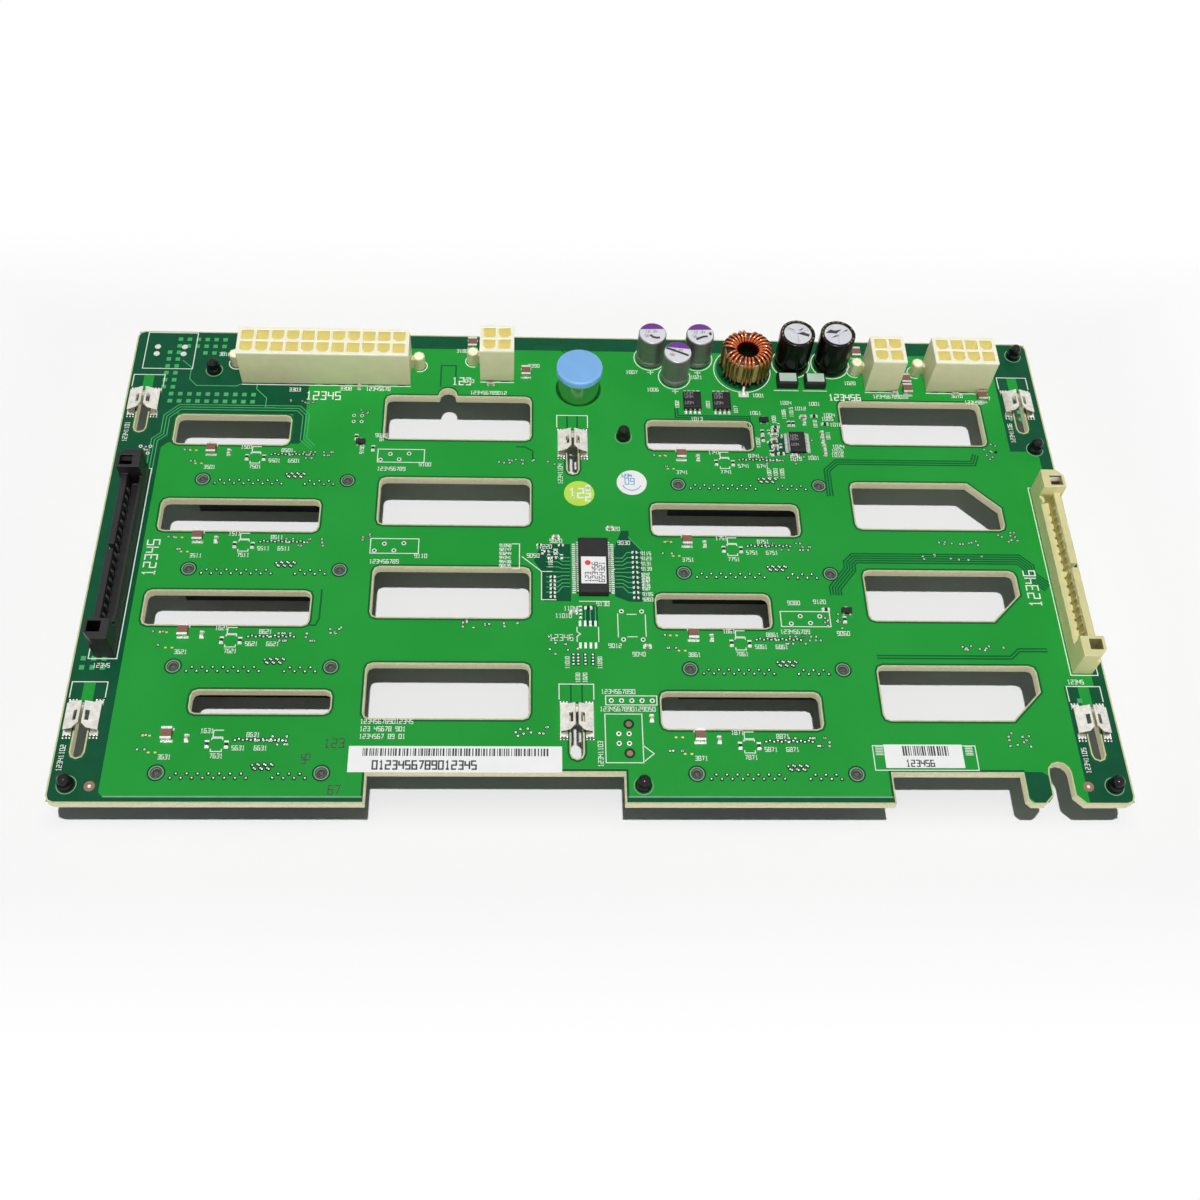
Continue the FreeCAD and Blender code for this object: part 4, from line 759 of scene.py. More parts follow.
for index, row in enumerate([-2.6, -4.2, -5.8, -7.4, -9.0, -9.9, -10.8, -11.7, -12.6, -13.5, -15.2, -16.8]):
    size = 0.95 if index < 4 or index > 9 else 0.72
    small_numbers += number_strokes(str(9115 + index * 8), 12.6, row, size)
for index in range(6):
    small_numbers += number_strokes(str(91050 + index * 1097), -24.6, -0.4 - 1.28 * index, 0.84)
for x, y, text in [
    (-6.7, -36.6, "11010"), (1.5, -36.6, "11090"), (-4.1, -41.2, "11030"), (-2.3, -41.2, "11020"),
    (47.4, 33.4, "11002"), (51.4, 22.8, "11003"), (53.2, 22.8, "11005"), (49.6, 22.8, "11007"),
    (57.8, 44.4, "11015"), (55.6, 43.6, "11006"), (52.6, 42.0, "1008"), (25.4, 47.0, "1002"),
    (34.2, 47.0, "1003"), (42.0, 45.4, "1017"), (-9.4, -3.6, "1103"), (-10.8, -6.8, "1102"),
    (-62.4, 29.6, "9190"), (-57.2, 34.0, "930"), (64.2, 40.6, "1010"), (67.4, 36.4, "1011"),
]:
    small_numbers += number_strokes(text, x, y, 0.95, turned=True)
for (x, y), text in zip(SLOTS, ("12341101", "12341104", "12341106", "12341102", "12341103", "12341105")):
    side = 6.2 if text.endswith("3") else -2.9
    lift = -9.2 if text.endswith("3") else -10.6
    small_numbers += number_strokes(text, x + side, y + lift, 1.15, turned=True)
large_numbers = number_strokes("12345", -113.2, -10.1, 3.1, turned=True)
large_numbers += number_strokes("12346", 117.2, -17.4, 3.1, turned=True)
large_numbers += number_strokes("12345", -79.6, 48.4, 2.7) + number_strokes("123", -38.8, 54.4, 2.5)
large_numbers += number_strokes("123456", 68.8, 50.6, 2.1)
SILK_LIFT = 0.034
make_strokes("small_numbers", small_numbers, 0.17, SILK_LIFT, silk_white)
make_strokes("large_numbers", large_numbers, 0.34, SILK_LIFT, silk_white)
stamps = number_strokes("123", -65.8, -58.4, 2.3) + number_strokes("45", -69.0, -62.6, 2.0, turned=True)
stamps += number_strokes("67", -64.0, -70.4, 2.2)
make_strokes("black_stamps", stamps, 0.26, SILK_LIFT, ink_black)
print("number strokes:", len(small_numbers))

# %% [markdown]
# ## White outlines
# The rest of the white print is outlines: a bracket over each clip, a ring round each can, boxes round
# the sockets and round the parts that this board was made without.
# %% Rings and brackets


def ring_path(x, y, radius, first=0.0, last=360.0, steps=40):
    """Points on an arc: centre plus radius times (cos a, sin a)."""
    angle = np.radians(np.linspace(first, last, steps + 1))
    return np.column_stack([x + radius * np.cos(angle), y + radius * np.sin(angle)])


def socket_outline(node, gap=0.45):
    """A box of silk a little outside a CAD node's footprint."""
    low, high = limits(node)
    return box_outline(low[0] - gap, low[1] - gap, high[0] + gap, high[1] + gap)


outlines = []
for x, y in SLOTS:
    side, high = 4.3, y + 13.0
    outlines.append([(x - side, high - 4.3), (x - side, high), (x + side, high), (x + side, high - 4.3)])
for name in ("polymer_capacitor_1", "polymer_capacitor_2", "polymer_capacitor_3"):
    x, y, _ = middle_of(name)
    outlines.append(ring_path(x, y, 4.55))
    outlines += [[(x - 0.9, y - 5.3), (x + 0.9, y - 5.3)], [(x, y - 6.2), (x, y - 4.5)]]
for name in ("electrolytic_capacitor_1", "electrolytic_capacitor_2"):
    x, y, _ = middle_of(name)
    outlines.append(ring_path(x, y, 5.5))
CHOKE_X, CHOKE_Y, _ = middle_of("choke_core")
outlines.append(ring_path(CHOKE_X - 0.6, CHOKE_Y - 0.5, 8.2))
outlines += [socket_outline("right_cable_socket"), socket_outline("left_cable_socket")]
for left, low, right, high in [
    (-126.5, 58.8, -112.5, 72.2), (-58.4, 26.8, -45.7, 31.2), (-58.5, -2.8, -45.9, 1.8),
    (48.0, -24.1, 60.8, -19.6), (2.2, -46.7, 14.9, -44.2), (1.9, -62.2, 11.0, -49.2),
    (67.2, -64.0, 92.6, -57.5),
]:
    outlines.append(box_outline(left, low, right, high))
outlines += [[(11.0, -57.6), (13.6, -59.8), (11.0, -62.0)]]
outlines += [[(-18.8, -3.4), (-13.6, -8.0), (-13.6, -16.6), (-9.8, -16.6)], [(-13.6, -8.0), (-10.8, -8.0)]]
outlines += [[(-21.4, 0.5), (-19.4, 0.5), (-19.4, -7.2), (-21.4, -7.2)]]
outlines += [[(-3.9, -17.0), (4.0, -17.0)], [(-3.4, 1.6), (2.2, 1.6)]]
outlines += [[(5.9, -20.6), (5.9, -27.6)], [(13.0, -20.8), (13.0, -27.4)], [(8.2, -20.8), (10.8, -20.8)],
             [(8.2, -27.4), (10.8, -27.4)]]
outlines += [[(-4.6, -24.6), (-4.6, -26.0), (-3.7, -26.7), (-4.6, -27.4), (-4.6, -29.0)],
             [(0.9, -24.6), (0.9, -29.0)]]
outlines += [[(53.0, 53.9), (60.2, 53.9)], [(61.4, 53.9), (68.4, 53.9)]]
for x, y in DRIVES:
    e_left, e_low = x - 7.2, y + 9.3
    outlines += [[(e_left + 2.4, e_low), (e_left, e_low), (e_left, e_low + 1.8), (e_left + 2.4, e_low + 1.8)]]
    outlines += [[(x - 7.4, y + 6.2), (x - 7.4, y + 5.5), (x - 4.8, y + 5.5), (x - 4.8, y + 6.2)]]
    outlines += [[(x - 7.4, y + 8.5), (x - 7.4, y + 9.0), (x - 4.8, y + 9.0), (x - 4.8, y + 8.5)]]
make_strokes("white_outlines", outlines, 0.24, 0.032, silk_white)

# %% [markdown]
# ## Pads, joints and holes
# The solder joints of the drive sockets come up through the board in staggered rows. Each joint is a
# low dome, all of them made in one array. The pads of parts that are not fitted are flat plates.
# %% Solder joints of the drive sockets


def staggered(first, pitch, number, near, far):
    """A zigzag row of joints, seen from the middle of its socket."""
    index = np.arange(number)
    return np.column_stack([first + pitch * index, np.where(index % 2 == 0, near, far)])


JOINTS = np.vstack([
    staggered(-16.0, 1.27, 15, -1.25, -0.15),
    staggered(8.0, 1.27, 7, -1.25, -0.15),
    staggered(2.9, 0.8, 7, 2.05, 1.05),
    staggered(3.3, 0.8, 6, 1.3, 2.3),
])
drive_joints = np.concatenate([centre + JOINTS for centre in DRIVES])
make_dots("drive_joint_clearings", drive_joints + (0.0, -0.1), 0.56, TOP, 0.014, mask_deep,
          sides=8)
make_dots("drive_joints", drive_joints, 0.31, TOP, 0.1, tin_dull, sides=8, dome=0.16)
print("solder joints:", len(drive_joints))

PEG_SIDE = 19.37
pegs = np.concatenate([centre + np.array([[-PEG_SIDE, 0], [PEG_SIDE, 0]]) for centre in DRIVES])
peg_grey = finish("peg_grey", colour(62, 62, 58), 0.5, vary=0.25, blotch=1500.0, skin=0.5)
for name, radius, width, lift, shade in (
    ("peg_clearings", 1.98, 0.4, 0.028, mask_deep),
    ("peg_rings", 1.66, 0.28, 0.03, mask_edge),
    ("peg_bands", 1.36, 0.36, 0.028, ink_black),
):
    make_strokes(name, [ring_path(x, y, radius, steps=24) for x, y in pegs], width, lift, shade)
make_dots("peg_heads", pegs, 1.16, TOP - 0.3, 0.29, peg_grey, sides=20, dome=0.05)
pips = [ring_path(x, y, 0.62, steps=14) for x, y in pegs]
make_strokes("peg_pips", pips, 0.14, 0.06, black_plastic)

# %% Pads of the parts that are not fitted

bare_pads = [(-57.6, 27.6), (-55.0, 29.6), (-52.5, 27.8), (-49.9, 29.8)]
bare_pads += [(-57.4, -2.0), (-54.9, 0.2), (-52.3, -1.9), (-49.8, 0.4)]
bare_pads += [(50.6, -23.2), (53.1, -21.0), (55.6, -23.0), (58.2, -21.0)]
bare_pads += [(3.6 + 2.54 * index, -45.5) for index in range(5)]
bare_pads += [(5.2, -54.5), (7.7, -54.5), (5.2, -57.1), (7.7, -57.1)]
bare_pads += [(6.9, -19.9), (12.1, -19.9), (7.2, -28.2), (12.2, -28.2)]
make_dots("bare_pads", bare_pads, 0.62, TOP, 0.03, tin, sides=16)
make_dots("bare_pad_holes", bare_pads, 0.34, TOP + 0.03, 0.008, ink_black, sides=12)
row_pads = [(-3.8 + 1.32 * index, low, TOP, 0.62, 1.7, 0.04) for index in range(4) for low in (-23.6, -30.0)]
row_pads += [(x, -32.6 - 0.9 * step, TOP, 0.5, 0.42, 0.06) for x in (-5.6, -4.4, -2.6, -0.7)
             for step in range(4)]
row_pads += [(x + 0.95 * step, y + 8.5 + 0.3 * (step % 2), TOP, 0.46, 0.36, 0.06)
             for x, y in DRIVES for step in range(-2, 11)]
gold_pads = [(x + 0.9 * step, y + 5.2, TOP, 0.6, 0.4, 0.05) for x, y in DRIVES for step in (-24.4, -22.6)]
gold_pads += [(x + 0.9 * step, y + 9.6, TOP, 0.6, 0.4, 0.05) for x, y in DRIVES for step in (-26.6, -24.8)]
make_blocks("gold_pads", gold_pads, gold)
clearings = [(x, y, TOP, wide + 0.5, deep + 0.44, 0.013) for x, y, _, wide, deep, _ in row_pads[8:]]
make_blocks("row_pad_clearings", clearings, mask_deep)
make_blocks("row_pads", row_pads, tin_dull)
big_vias = [(-122.8, 31.2), (-120.2, 31.2), (-120.6, 28.9), (-65.8, 42.8), (-63.6, 42.8), (-65.8, 40.7),
            (-63.6, 40.7)]
make_dots("big_via_lands", big_vias, 0.52, TOP, 0.03, tin, sides=14)
make_dots("big_via_holes", big_vias, 0.27, TOP + 0.03, 0.008, ink_black, sides=10)
large_pads = [(-123.3, 66.9), (-115.7, 66.9), (-123.3, 64.3), (-115.7, 64.3)]
make_dots("large_pads", large_pads, 0.85, TOP, 0.03, tin, sides=18)
FIDUCIALS = [(-119.7, -68.5), (118.7, -68.2)]
KEY_HOLES = [(7.7, -51.9), (7.7, -59.7)]
make_dots("key_hole_rings", KEY_HOLES, 1.35, TOP, 0.02, mask_deep, sides=24)
bare_brown = finish("bare_brown", colour(150, 118, 96), 0.5, vary=0.1, shine=0.2)
make_dots("fiducials", FIDUCIALS, 0.42, TOP, 0.034, tin, sides=16)
make_dots("key_holes", KEY_HOLES, 0.78, TOP + 0.02, 0.01, bare_brown, sides=20)
make_dots("fiducial_clearings", FIDUCIALS, 1.3, TOP, 0.024, bare_brown, 24)

clip_pads = [(x + side * 3.2, y + end) for x, y in CLIPS for side in (-1, 1) for end in (-4.6, 4.2)]
clip_beads = [(x + 0.8 * a, y + 0.68 * b) for x, y in clip_pads for a in (-1, 0, 1) for b in (-1, 0, 1)]
make_dots("clip_bead_clearings", clip_beads, 0.36, TOP, 0.03, ink_black, sides=8)
make_dots("clip_beads", clip_beads, 0.25, TOP + 0.02, 0.06, tin, sides=8, dome=0.1)

# %% Vias over the whole board
# Vias are small rings with a dark middle. They gather where traces change sides, so a seeded generator
# scatters them in a few chosen boxes.


def via_spots(seed=4):
    """Scattered via places: two groups for every drive socket, then an even spread in each box."""
    generator = np.random.default_rng(seed)
    spots = []
    for x, y in DRIVES:
        for left, right, rows, number in ((2.0, 15.0, [7.4, 8.4, 9.5], 14), (-26.0, -22.0, [6.0, 9.8], 4)):
            across = x + generator.uniform(left, right, number)
            spots.append(np.column_stack([across, y + generator.choice(rows, number)]))
    for x, y, width, height, number in [
        (-63.0, 44.0, 2.6, 2.6, 4), (-60.0, 2.0, 2.6, 2.6, 6), (-15.0, 27.5, 22.0, 1.6, 14),
        (0.0, -7.0, 11.0, 8.0, 36),
        (-27.0, -24.0, 16.0, 3.0, 12), (-8.0, -30.0, 8.0, 5.0, 10), (58.0, 34.0, 9.0, 8.0, 26),
        (112.0, 33.0, 5.0, 6.0, 12), (112.0, 5.0, 5.0, 6.0, 10), (98.0, 2.0, 12.0, 1.6, 10),
        (100.0, -30.0, 12.0, 1.6, 10),
        (104.0, -56.0, 6.0, 4.0, 10), (-80.0, 47.0, 8.0, 2.6, 8), (-16.0, -54.0, 10.0, 2.4, 10),
        (95.0, -2.6, 18.0, 1.8, 8),
        (-122.0, 31.0, 2.4, 2.0, 4), (62.0, -22.0, 6.0, 5.0, 10), (-66.0, -26.0, 5.0, 2.0, 6),
    ]:
        low, high = (x - width / 2, y - height / 2), (x + width / 2, y + height / 2)
        spots.append(generator.uniform(low, high, (number, 2)))
    return np.concatenate(spots)


def clear_of_loops(spots, loops, margin=1.0):
    """Keep the spots that lie outside every cut-out's box, with a margin."""
    keep = np.ones(len(spots), bool)
    for loop in loops:
        low, high = loop.min(axis=0) - margin, loop.max(axis=0) + margin
        keep &= ~((spots > low) & (spots < high)).all(axis=1)
    return spots[keep]


vias = clear_of_loops(via_spots(), window_loops)
make_dots("via_rings", vias, 0.48, TOP, 0.02, mask_deep, sides=8)
make_dots("via_lands", vias, 0.28, TOP + 0.02, 0.012, tin_dull, sides=8)
make_dots("via_holes", vias, 0.13, TOP + 0.032, 0.006, ink_black, sides=6)
print("vias:", len(vias))

# %% [markdown]
# ## Chip parts
# A chip resistor or capacitor is a small block with a metal cap at each end. All the parts of one kind
# share a mesh: the bodies are one array of blocks and the end caps are another.
# %% Rows of chip parts


def make_chips(name, spots, size, body_material):
    """Bodies and end caps of chip parts; each spot is (x, y, upright)."""
    length, width, height = size
    cap = length * 0.24
    bodies, caps = [], []
    for x, y, upright in spots:
        across, along = (width, length) if upright else (length, width)
        bodies.append((x, y, TOP + 0.05, across - 0.04, along - 0.04, height - 0.06))
        for end in (-1, 1):
            shift = end * (length - cap) / 2
            spot = (x, y + shift) if upright else (x + shift, y)
            size_xy = (width, cap) if upright else (cap, width)
            caps.append((*spot, TOP, *size_xy, height))
            pad = (spot[0], spot[1] + end * 0.18) if upright else (spot[0] + end * 0.18, spot[1])
            caps.append((*pad, TOP, size_xy[0] + 0.2, size_xy[1] + 0.2, 0.07))
    make_blocks(name + "_bodies", bodies, body_material)
    make_blocks(name + "_ends", caps, tin)


capacitors = [(x - 13.4, y + 8.9, True) for x, y in DRIVES]
resistors = [(x - 8.4, y + 7.4, True) for x, y in DRIVES] + [(x - 3.8, y + 7.3, True) for x, y in DRIVES]
capacitors += [(65.2, 38.2, True), (65.2, 36.0, True), (65.4, 33.4, True), (65.4, 31.6, True),
               (51.6, 37.6, False)]
capacitors += [(51.4, 35.8, False), (51.6, 33.6, False), (56.6, 30.4, False), (60.6, 42.4, True),
               (60.4, 44.2, False)]
capacitors += [(-65.0, 53.0, True), (-9.8, 2.6, False), (4.6, 5.6, False), (13.2, -30.3, False),
               (13.4, -50.4, True)]
capacitors += [(-28.0, 54.6, False), (88.0, 53.4, False), (105.6, 53.4, False), (-5.4, -20.4, False)]
resistors += [(56.2, 41.8, True), (57.4, 41.8, True), (52.2, 40.4, False), (48.4, 38.6, True),
              (48.4, 36.4, True)]
resistors += [(53.0, 31.2, False), (50.6, 31.4, True), (52.0, 39.2, False), (63.6, 44.6, False),
              (66.4, 41.8, False)]
resistors += [(-64.6, 35.2, True), (-59.8, 31.4, True), (-1.6, -19.0, False), (60.0, -19.0, False),
              (64.6, -22.0, True)]
fine_chips = [(10.9, -1.9 - 1.55 * index, False) for index in range(10)]
fine_chips += [(-10.7, -9.7 - 1.2 * index, False) for index in range(6)]
fine_chips += [(-3.6, -19.2, True), (-3.6, -21.4, True)]
fine_chips += [(-14.2 + 1.9 * index, 0.2 - 2.0 * (index % 3), False) for index in range(4)]
fine_chips += [(-13.4 + 1.7 * index, -2.0 - 1.4 * (index % 2), True) for index in range(4)]
fine_chips += [(50.2 + 1.5 * (index % 3), 31.6 + 1.2 * index, index % 2 == 0) for index in range(9)]
make_chips("chip_capacitors_small", capacitors, (1.6, 0.85, 0.8), grey_ceramic)
make_chips("fine_chips", fine_chips, (1.0, 0.52, 0.36), chip_black)
make_chips("chip_resistors", resistors, (1.55, 0.8, 0.45), chip_black)

# %% End caps and print bars of the large chip capacitors


def group_middles(node, reach, digits=3):
    """The middles of the separate solids of a CAD node, found by gathering points that lie close."""
    flat = np.unique(np.round(points_of(nodes[node].data)[:, :2], digits), axis=0)
    middles = []
    while len(flat):
        near = (np.abs(flat - flat[0]) < reach).all(axis=1)
        middles.append((flat[near].min(axis=0) + flat[near].max(axis=0)) / 2)
        flat = flat[~near]
    return middles


large_capacitors = group_middles("chip_capacitors", 3.6)
BLOCK_HEIGHT = limits("chip_capacitors")[1][2] - TOP
caps = []
for x, y in large_capacitors:
    for end in (-1, 1):
        caps.append((x, y + end * 1.32, TOP, 2.58, 0.62, BLOCK_HEIGHT + 0.03))
        caps.append((x, y + end * 1.55, TOP, 2.9, 0.7, 0.08))
make_blocks("block_capacitor_ends", caps, tin)
print("large chip capacitors:", len(large_capacitors))

# %% [markdown]
# ## Chips with legs
# A gull-wing leg leaves the chip's side, bends down and ends in a flat foot. Its outline is drawn once
# from the side, given a width, and repeated along the chip in one array.
# %% Gull-wing legs


def gull_legs(side_x, direction, starts, width, reach, height, thick=0.13):
    """Legs along one side of a chip: the side outline is extruded along Y at every start.

    Outline points are (distance from the chip, height); the lower line repeats the upper one.
    """
    knee, foot = reach * 0.35, reach * 0.55
    upper = np.array([(-0.1, height), (knee, height), (foot, thick + 0.03), (reach, thick + 0.03)])
    lower = upper[::-1] - (0.0, thick)
    outline = np.vstack([upper, lower])
    number = len(outline)
    base = np.column_stack([side_x + direction * outline[:, 0], np.zeros(number), TOP + outline[:, 1]])
    both = np.vstack([base, base + (0, width, 0)])
    points = np.concatenate([both + (0, start, 0) for start in starts])
    index = np.arange(number)
    walls = np.stack([index, (index + 1) % number, (index + 1) % number + number, index + number], axis=1)
    faces = []
    for leg in range(len(starts)):
        shift = leg * 2 * number
        rows = (walls if direction < 0 else walls[:, ::-1]) + shift
        faces += rows.tolist()
        front = [shift + item for item in index]
        back = [shift + number + item for item in index]
        faces += [front[::-1], back] if direction < 0 else [front, back[::-1]]
    return points, faces


def make_legs(name, chip, number, pitch, width, reach, along_y=True):
    """Legs on both long sides of a CAD chip, turned when they leave its short sides."""
    low, high = limits(chip)
    middle = (low + high) / 2
    axis = 1 if along_y else 0
    other = 1 - axis
    starts = middle[axis] - pitch * (number - 1) / 2 - width / 2 + pitch * np.arange(number)
    knee_height = (high[2] - TOP) * 0.5
    sides = []
    for direction, side in ((-1, low[other]), (1, high[other])):
        points, faces = gull_legs(side, direction, starts, width, reach, knee_height)
        if not along_y:
            points = points[:, [1, 0, 2]]
            faces = [face[::-1] for face in faces]
        sides.append((points, faces))
    points, faces = joined(sides)
    return make_piece(name, points, faces, tin)


pads = []
for chip, number, pitch, width, reach in (("controller", 24, 0.65, 0.3, 1.35),
                                          ("regulator", 14, 0.48, 0.24, 1.0)):
    make_legs(chip + "_legs", chip + "_chip", number, pitch, width, reach)
    low, high = limits(chip + "_chip")
    rows = (low[1] + high[1]) / 2 - pitch * (number - 1) / 2 + pitch * np.arange(number)
    for side in (low[0] - reach * 0.85, high[0] + reach * 0.85):
        pads += [(side, row, TOP, 0.9, 0.34, 0.05) for row in rows]
SWITCH_PITCH = 1.27
for number in (1, 2):
    chip = f"power_switch_{number}"
    make_legs(f"switch_legs_{number}", chip, 4, SWITCH_PITCH, 0.5, 0.9, along_y=False)
    low, high = limits(chip)
    across = (low[0] + high[0]) / 2 + SWITCH_PITCH * (np.arange(4) - 1.5)
    for side in (low[1] - 0.7, high[1] + 0.7):
        pads += [(x, side, TOP, 0.8, 1.2, 0.05) for x in across]
make_blocks("chip_pads", pads, tin_dull)

# %% Small three-legged chips and the sticker on the controller

tiny = [(-63.3, 33.4), (49.1, 42.8), (65.3, -19.5)]
make_blocks("tiny_chips", [(x, y, TOP + 0.1, 2.6, 1.5, 0.9) for x, y in tiny], chip_black)
tiny_legs = [(x + dx, y + dy, TOP, 0.42, 0.7, 0.4)
             for x, y in tiny for dx, dy in ((-0.9, -0.95), (0.9, -0.95), (0, 0.95))]
make_blocks("tiny_legs", tiny_legs, tin)
control_low, control_high = limits("controller_chip")
control_x = (control_low[0] + control_high[0]) / 2
control_top = control_high[2]
STICKER = 0.08
make_blocks("controller_label", [(control_x, -8.8, control_top, 6.5, 8.2, STICKER)], label_white)
make_dots("controller_mark", [(control_x - 1.5, -6.6)], 0.78, control_top + STICKER, 0.012, ink_red,
          20)

label_numbers = []
for step, digits in enumerate(("123", "123456", "654321")):
    label_numbers += number_strokes(digits, control_x - 0.8 + 1.8 * step, -12.4, 1.4, turned=True)
raised_strokes("controller_label_print", label_numbers, 0.2, control_top + STICKER + 0.01, ink_black)

# %% [markdown]
# ## Round things
# Cans, knobs and posts are turned shapes: one profile of radius against height, carried round an
# axis. The profile starts and ends on the axis, and its two end points become single shared points,
# so the surface is closed at the poles.
# %% A lathe for round pieces


def turned_points(profile, x, y, sides):
    """Points and faces of a turned form: (r cos a, r sin a, z) for every profile point and angle.

    The first and the last profile point lie on the axis and are kept as one point each.
    """
    profile = np.asarray(profile, float)
    inner = profile[1:-1]
    angle = np.arange(sides) * 2 * np.pi / sides
    radius, height = inner[:, :1], inner[:, 1:]
    grid = np.stack([
        x + radius * np.cos(angle),
        y + radius * np.sin(angle),
        height + 0 * angle,
    ], axis=-1).reshape(-1, 3)
    points = np.vstack([grid, [[x, y, profile[0, 1]], [x, y, profile[-1, 1]]]])
    ring = np.arange(sides)
    after = (ring + 1) % sides
    quads = grid_quads(len(inner), sides, False).tolist()
    bottom, top = len(grid), len(grid) + 1
    last = (len(inner) - 1) * sides
    fans = [(bottom, b, a) for a, b in zip(ring, after)]
    fans += [(top, last + a, last + b) for a, b in zip(ring, after)]
    return points, quads + fans


def turn_pieces(name, profile, spots, material, body="board", sides=48):
    """The same turned form at several spots, as one smooth piece."""
    points, faces = joined(turned_points(profile, x, y, sides) for x, y in spots)
    return make_piece(name, points, faces, material, body, smooth=True)


def bent(start, corner, end, steps=4):
    """A quadratic curve in place of a corner: (1-t)^2 start + 2t(1-t) corner + t^2 end."""
    share = np.linspace(0.0, 1.0, steps + 1)[:, None]
    return (1 - share) ** 2 * start + 2 * share * (1 - share) * corner + share ** 2 * end


def rounded(profile, radius):
    """Round every inner corner of an open profile by a curve whose tangents meet at the corner."""
    profile = np.asarray(profile, float)
    result = [profile[:1]]
    for before, corner, after in zip(profile, profile[1:], profile[2:]):
        back, onward = before - corner, after - corner
        size = min(radius, 0.45 * np.linalg.norm(back), 0.45 * np.linalg.norm(onward))
        start = corner + back / np.linalg.norm(back) * size
        end = corner + onward / np.linalg.norm(onward) * size
        result.append(bent(start, corner, end))
    result.append(profile[-1:])
    return np.concatenate(result)


def rounded_loop(corners, reach, most=1.0):
    """The rounded corners of a closed loop, one curve each.

    A curve starts and ends a reach away from its corner in radius and height, or at most a share of
    the side.
    """
    corners = np.asarray(corners, float)
    curves = []
    for index, corner in enumerate(corners):
        back = corners[index - 1] - corner
        onward = corners[(index + 1) % len(corners)] - corner
        start = corner + back * min(most, reach / np.linalg.norm(back[:2]))
        end = corner + onward * min(most, reach / np.linalg.norm(onward[:2]))
        curves.append(bent(start, corner, end))
    return curves


# %% [markdown]
# ## Polymer cans
# These cans are drawn from aluminium, with a groove where the seal is crimped and a soft shoulder. The
# flat top carries a printed field over a third of it and a few plain ink strokes, so the top is
# dressed by thin fields that follow the circle.
# %% Turn the polymer cans

CANS = [tuple(middle_of(f"polymer_capacitor_{number}")[:2]) for number in (1, 2, 3)]
can_low, can_high = limits("polymer_capacitor_1")
CAN_RADIUS = (can_high[0] - can_low[0]) / 2
CAN_TOP = can_high[2]
wall = CAN_RADIUS - 0.02
can_profile = rounded([
    (0, TOP + 0.05), (wall - 0.23, TOP + 0.05), (wall, TOP + 0.5), (wall, TOP + 1.7),
    (wall - 0.4, TOP + 2.15),
    (wall, TOP + 2.6), (wall, CAN_TOP - 0.08), (0, CAN_TOP - 0.08),
], 0.5)
can_side = finish("can_side", colour(138, 134, 134), 0.34, metal=0.72, vary=0.06, blotch=500.0, skin=0.12)
can_top = finish("can_top", colour(212, 213, 218), 0.5, metal=0.15, vary=0.05, blotch=900.0, skin=0.3)
can_print = finish("can_print", colour(118, 58, 150), 0.5, vary=0.06, shine=0.2)
can_grey = finish("can_grey", colour(140, 140, 146), 0.5, vary=0.1)
can_ink = finish("can_ink", colour(34, 32, 40), 0.55, vary=0.1)
cans = turn_pieces("polymer_cans", can_profile, CANS, can_side)
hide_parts("polymer_capacitor_1", "polymer_capacitor_2", "polymer_capacitor_3")


def disc_cut(x, y, radius, facing, share):
    """The part of a disc beyond a straight line: facing is the middle angle, share the half angle."""
    return ring_path(x, y, radius, facing - share, facing + share, 28)


DISC = CAN_RADIUS - 0.3
discs = [disc_cut(x, y, DISC, 0, 180)[:-1] for x, y in CANS]
raised_fields("can_tops", discs, CAN_TOP - 0.07, can_top)
CAN_PRINT_FACING = (92.0, 84.0, 92.0)
fields = [disc_cut(x, y, DISC, facing, 66) for (x, y), facing in zip(CANS, CAN_PRINT_FACING)]
raised_fields("can_fields", fields, CAN_TOP - 0.055, can_print)
INK_CURVES = [
    [(-0.7, -0.6), (0.0, -1.4), (1.0, -1.7), (2.0, -1.6)],
    [(-3.2, 1.5), (-1.6, 0.9), (0.6, -0.1), (3.0, -1.2)],
    [(-1.3, -2.1), (-0.2, -1.5), (0.9, -1.0), (2.0, -0.9)],
]
ink = [np.array(curve) + spot for curve, spot in zip(INK_CURVES, CANS)]
ink.append(np.array([(3.0, -0.4), (2.7, 0.6)]) + CANS[2])
raised_strokes("can_ink_bands", ink, 0.72, CAN_TOP - 0.045, can_ink)
can_numbers = []
for x, y in CANS:
    can_numbers += number_strokes("12 34", x - 1.9, y + 0.2, 0.9)
    can_numbers += number_strokes("56", x - 2.2, y - 1.4, 0.9)
raised_strokes("can_numbers", can_numbers, 0.16, CAN_TOP - 0.05, can_grey)

# %% [markdown]
# ## Electrolytic cans
# The taller pair wear a shrunk plastic sleeve whose lip folds over the shoulder. The bare metal top
# is scored with a star, so it can open safely: here the score is three thin grey lines.
# %% Turn the sleeved cans

TALL = [tuple(middle_of(f"electrolytic_capacitor_{number}")[:2]) for number in (1, 2)]
tall_low, tall_high = limits("electrolytic_capacitor_1")
TALL_RADIUS = (tall_high[0] - tall_low[0]) / 2
TALL_TOP = tall_high[2]
wall = TALL_RADIUS - 0.02
sleeve_profile = rounded([
    (0, TOP + 0.1), (wall - 0.28, TOP + 0.1), (wall, TOP + 0.6), (wall, TOP + 1.8), (wall - 0.43, TOP + 2.4),
    (wall, TOP + 3.0), (wall, TALL_TOP - 0.02), (wall - 1.03, TALL_TOP - 0.02), (wall - 1.08, TALL_TOP - 0.3),
    (0, TALL_TOP - 0.3),
], 0.55)
sleeve = finish("sleeve", colour(15, 10, 12), 0.2, vary=0.15, skin=0.06, shine=0.2)
sleeves = turn_pieces("electrolytic_sleeves", sleeve_profile, TALL, sleeve)
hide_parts("electrolytic_capacitor_1", "electrolytic_capacitor_2")
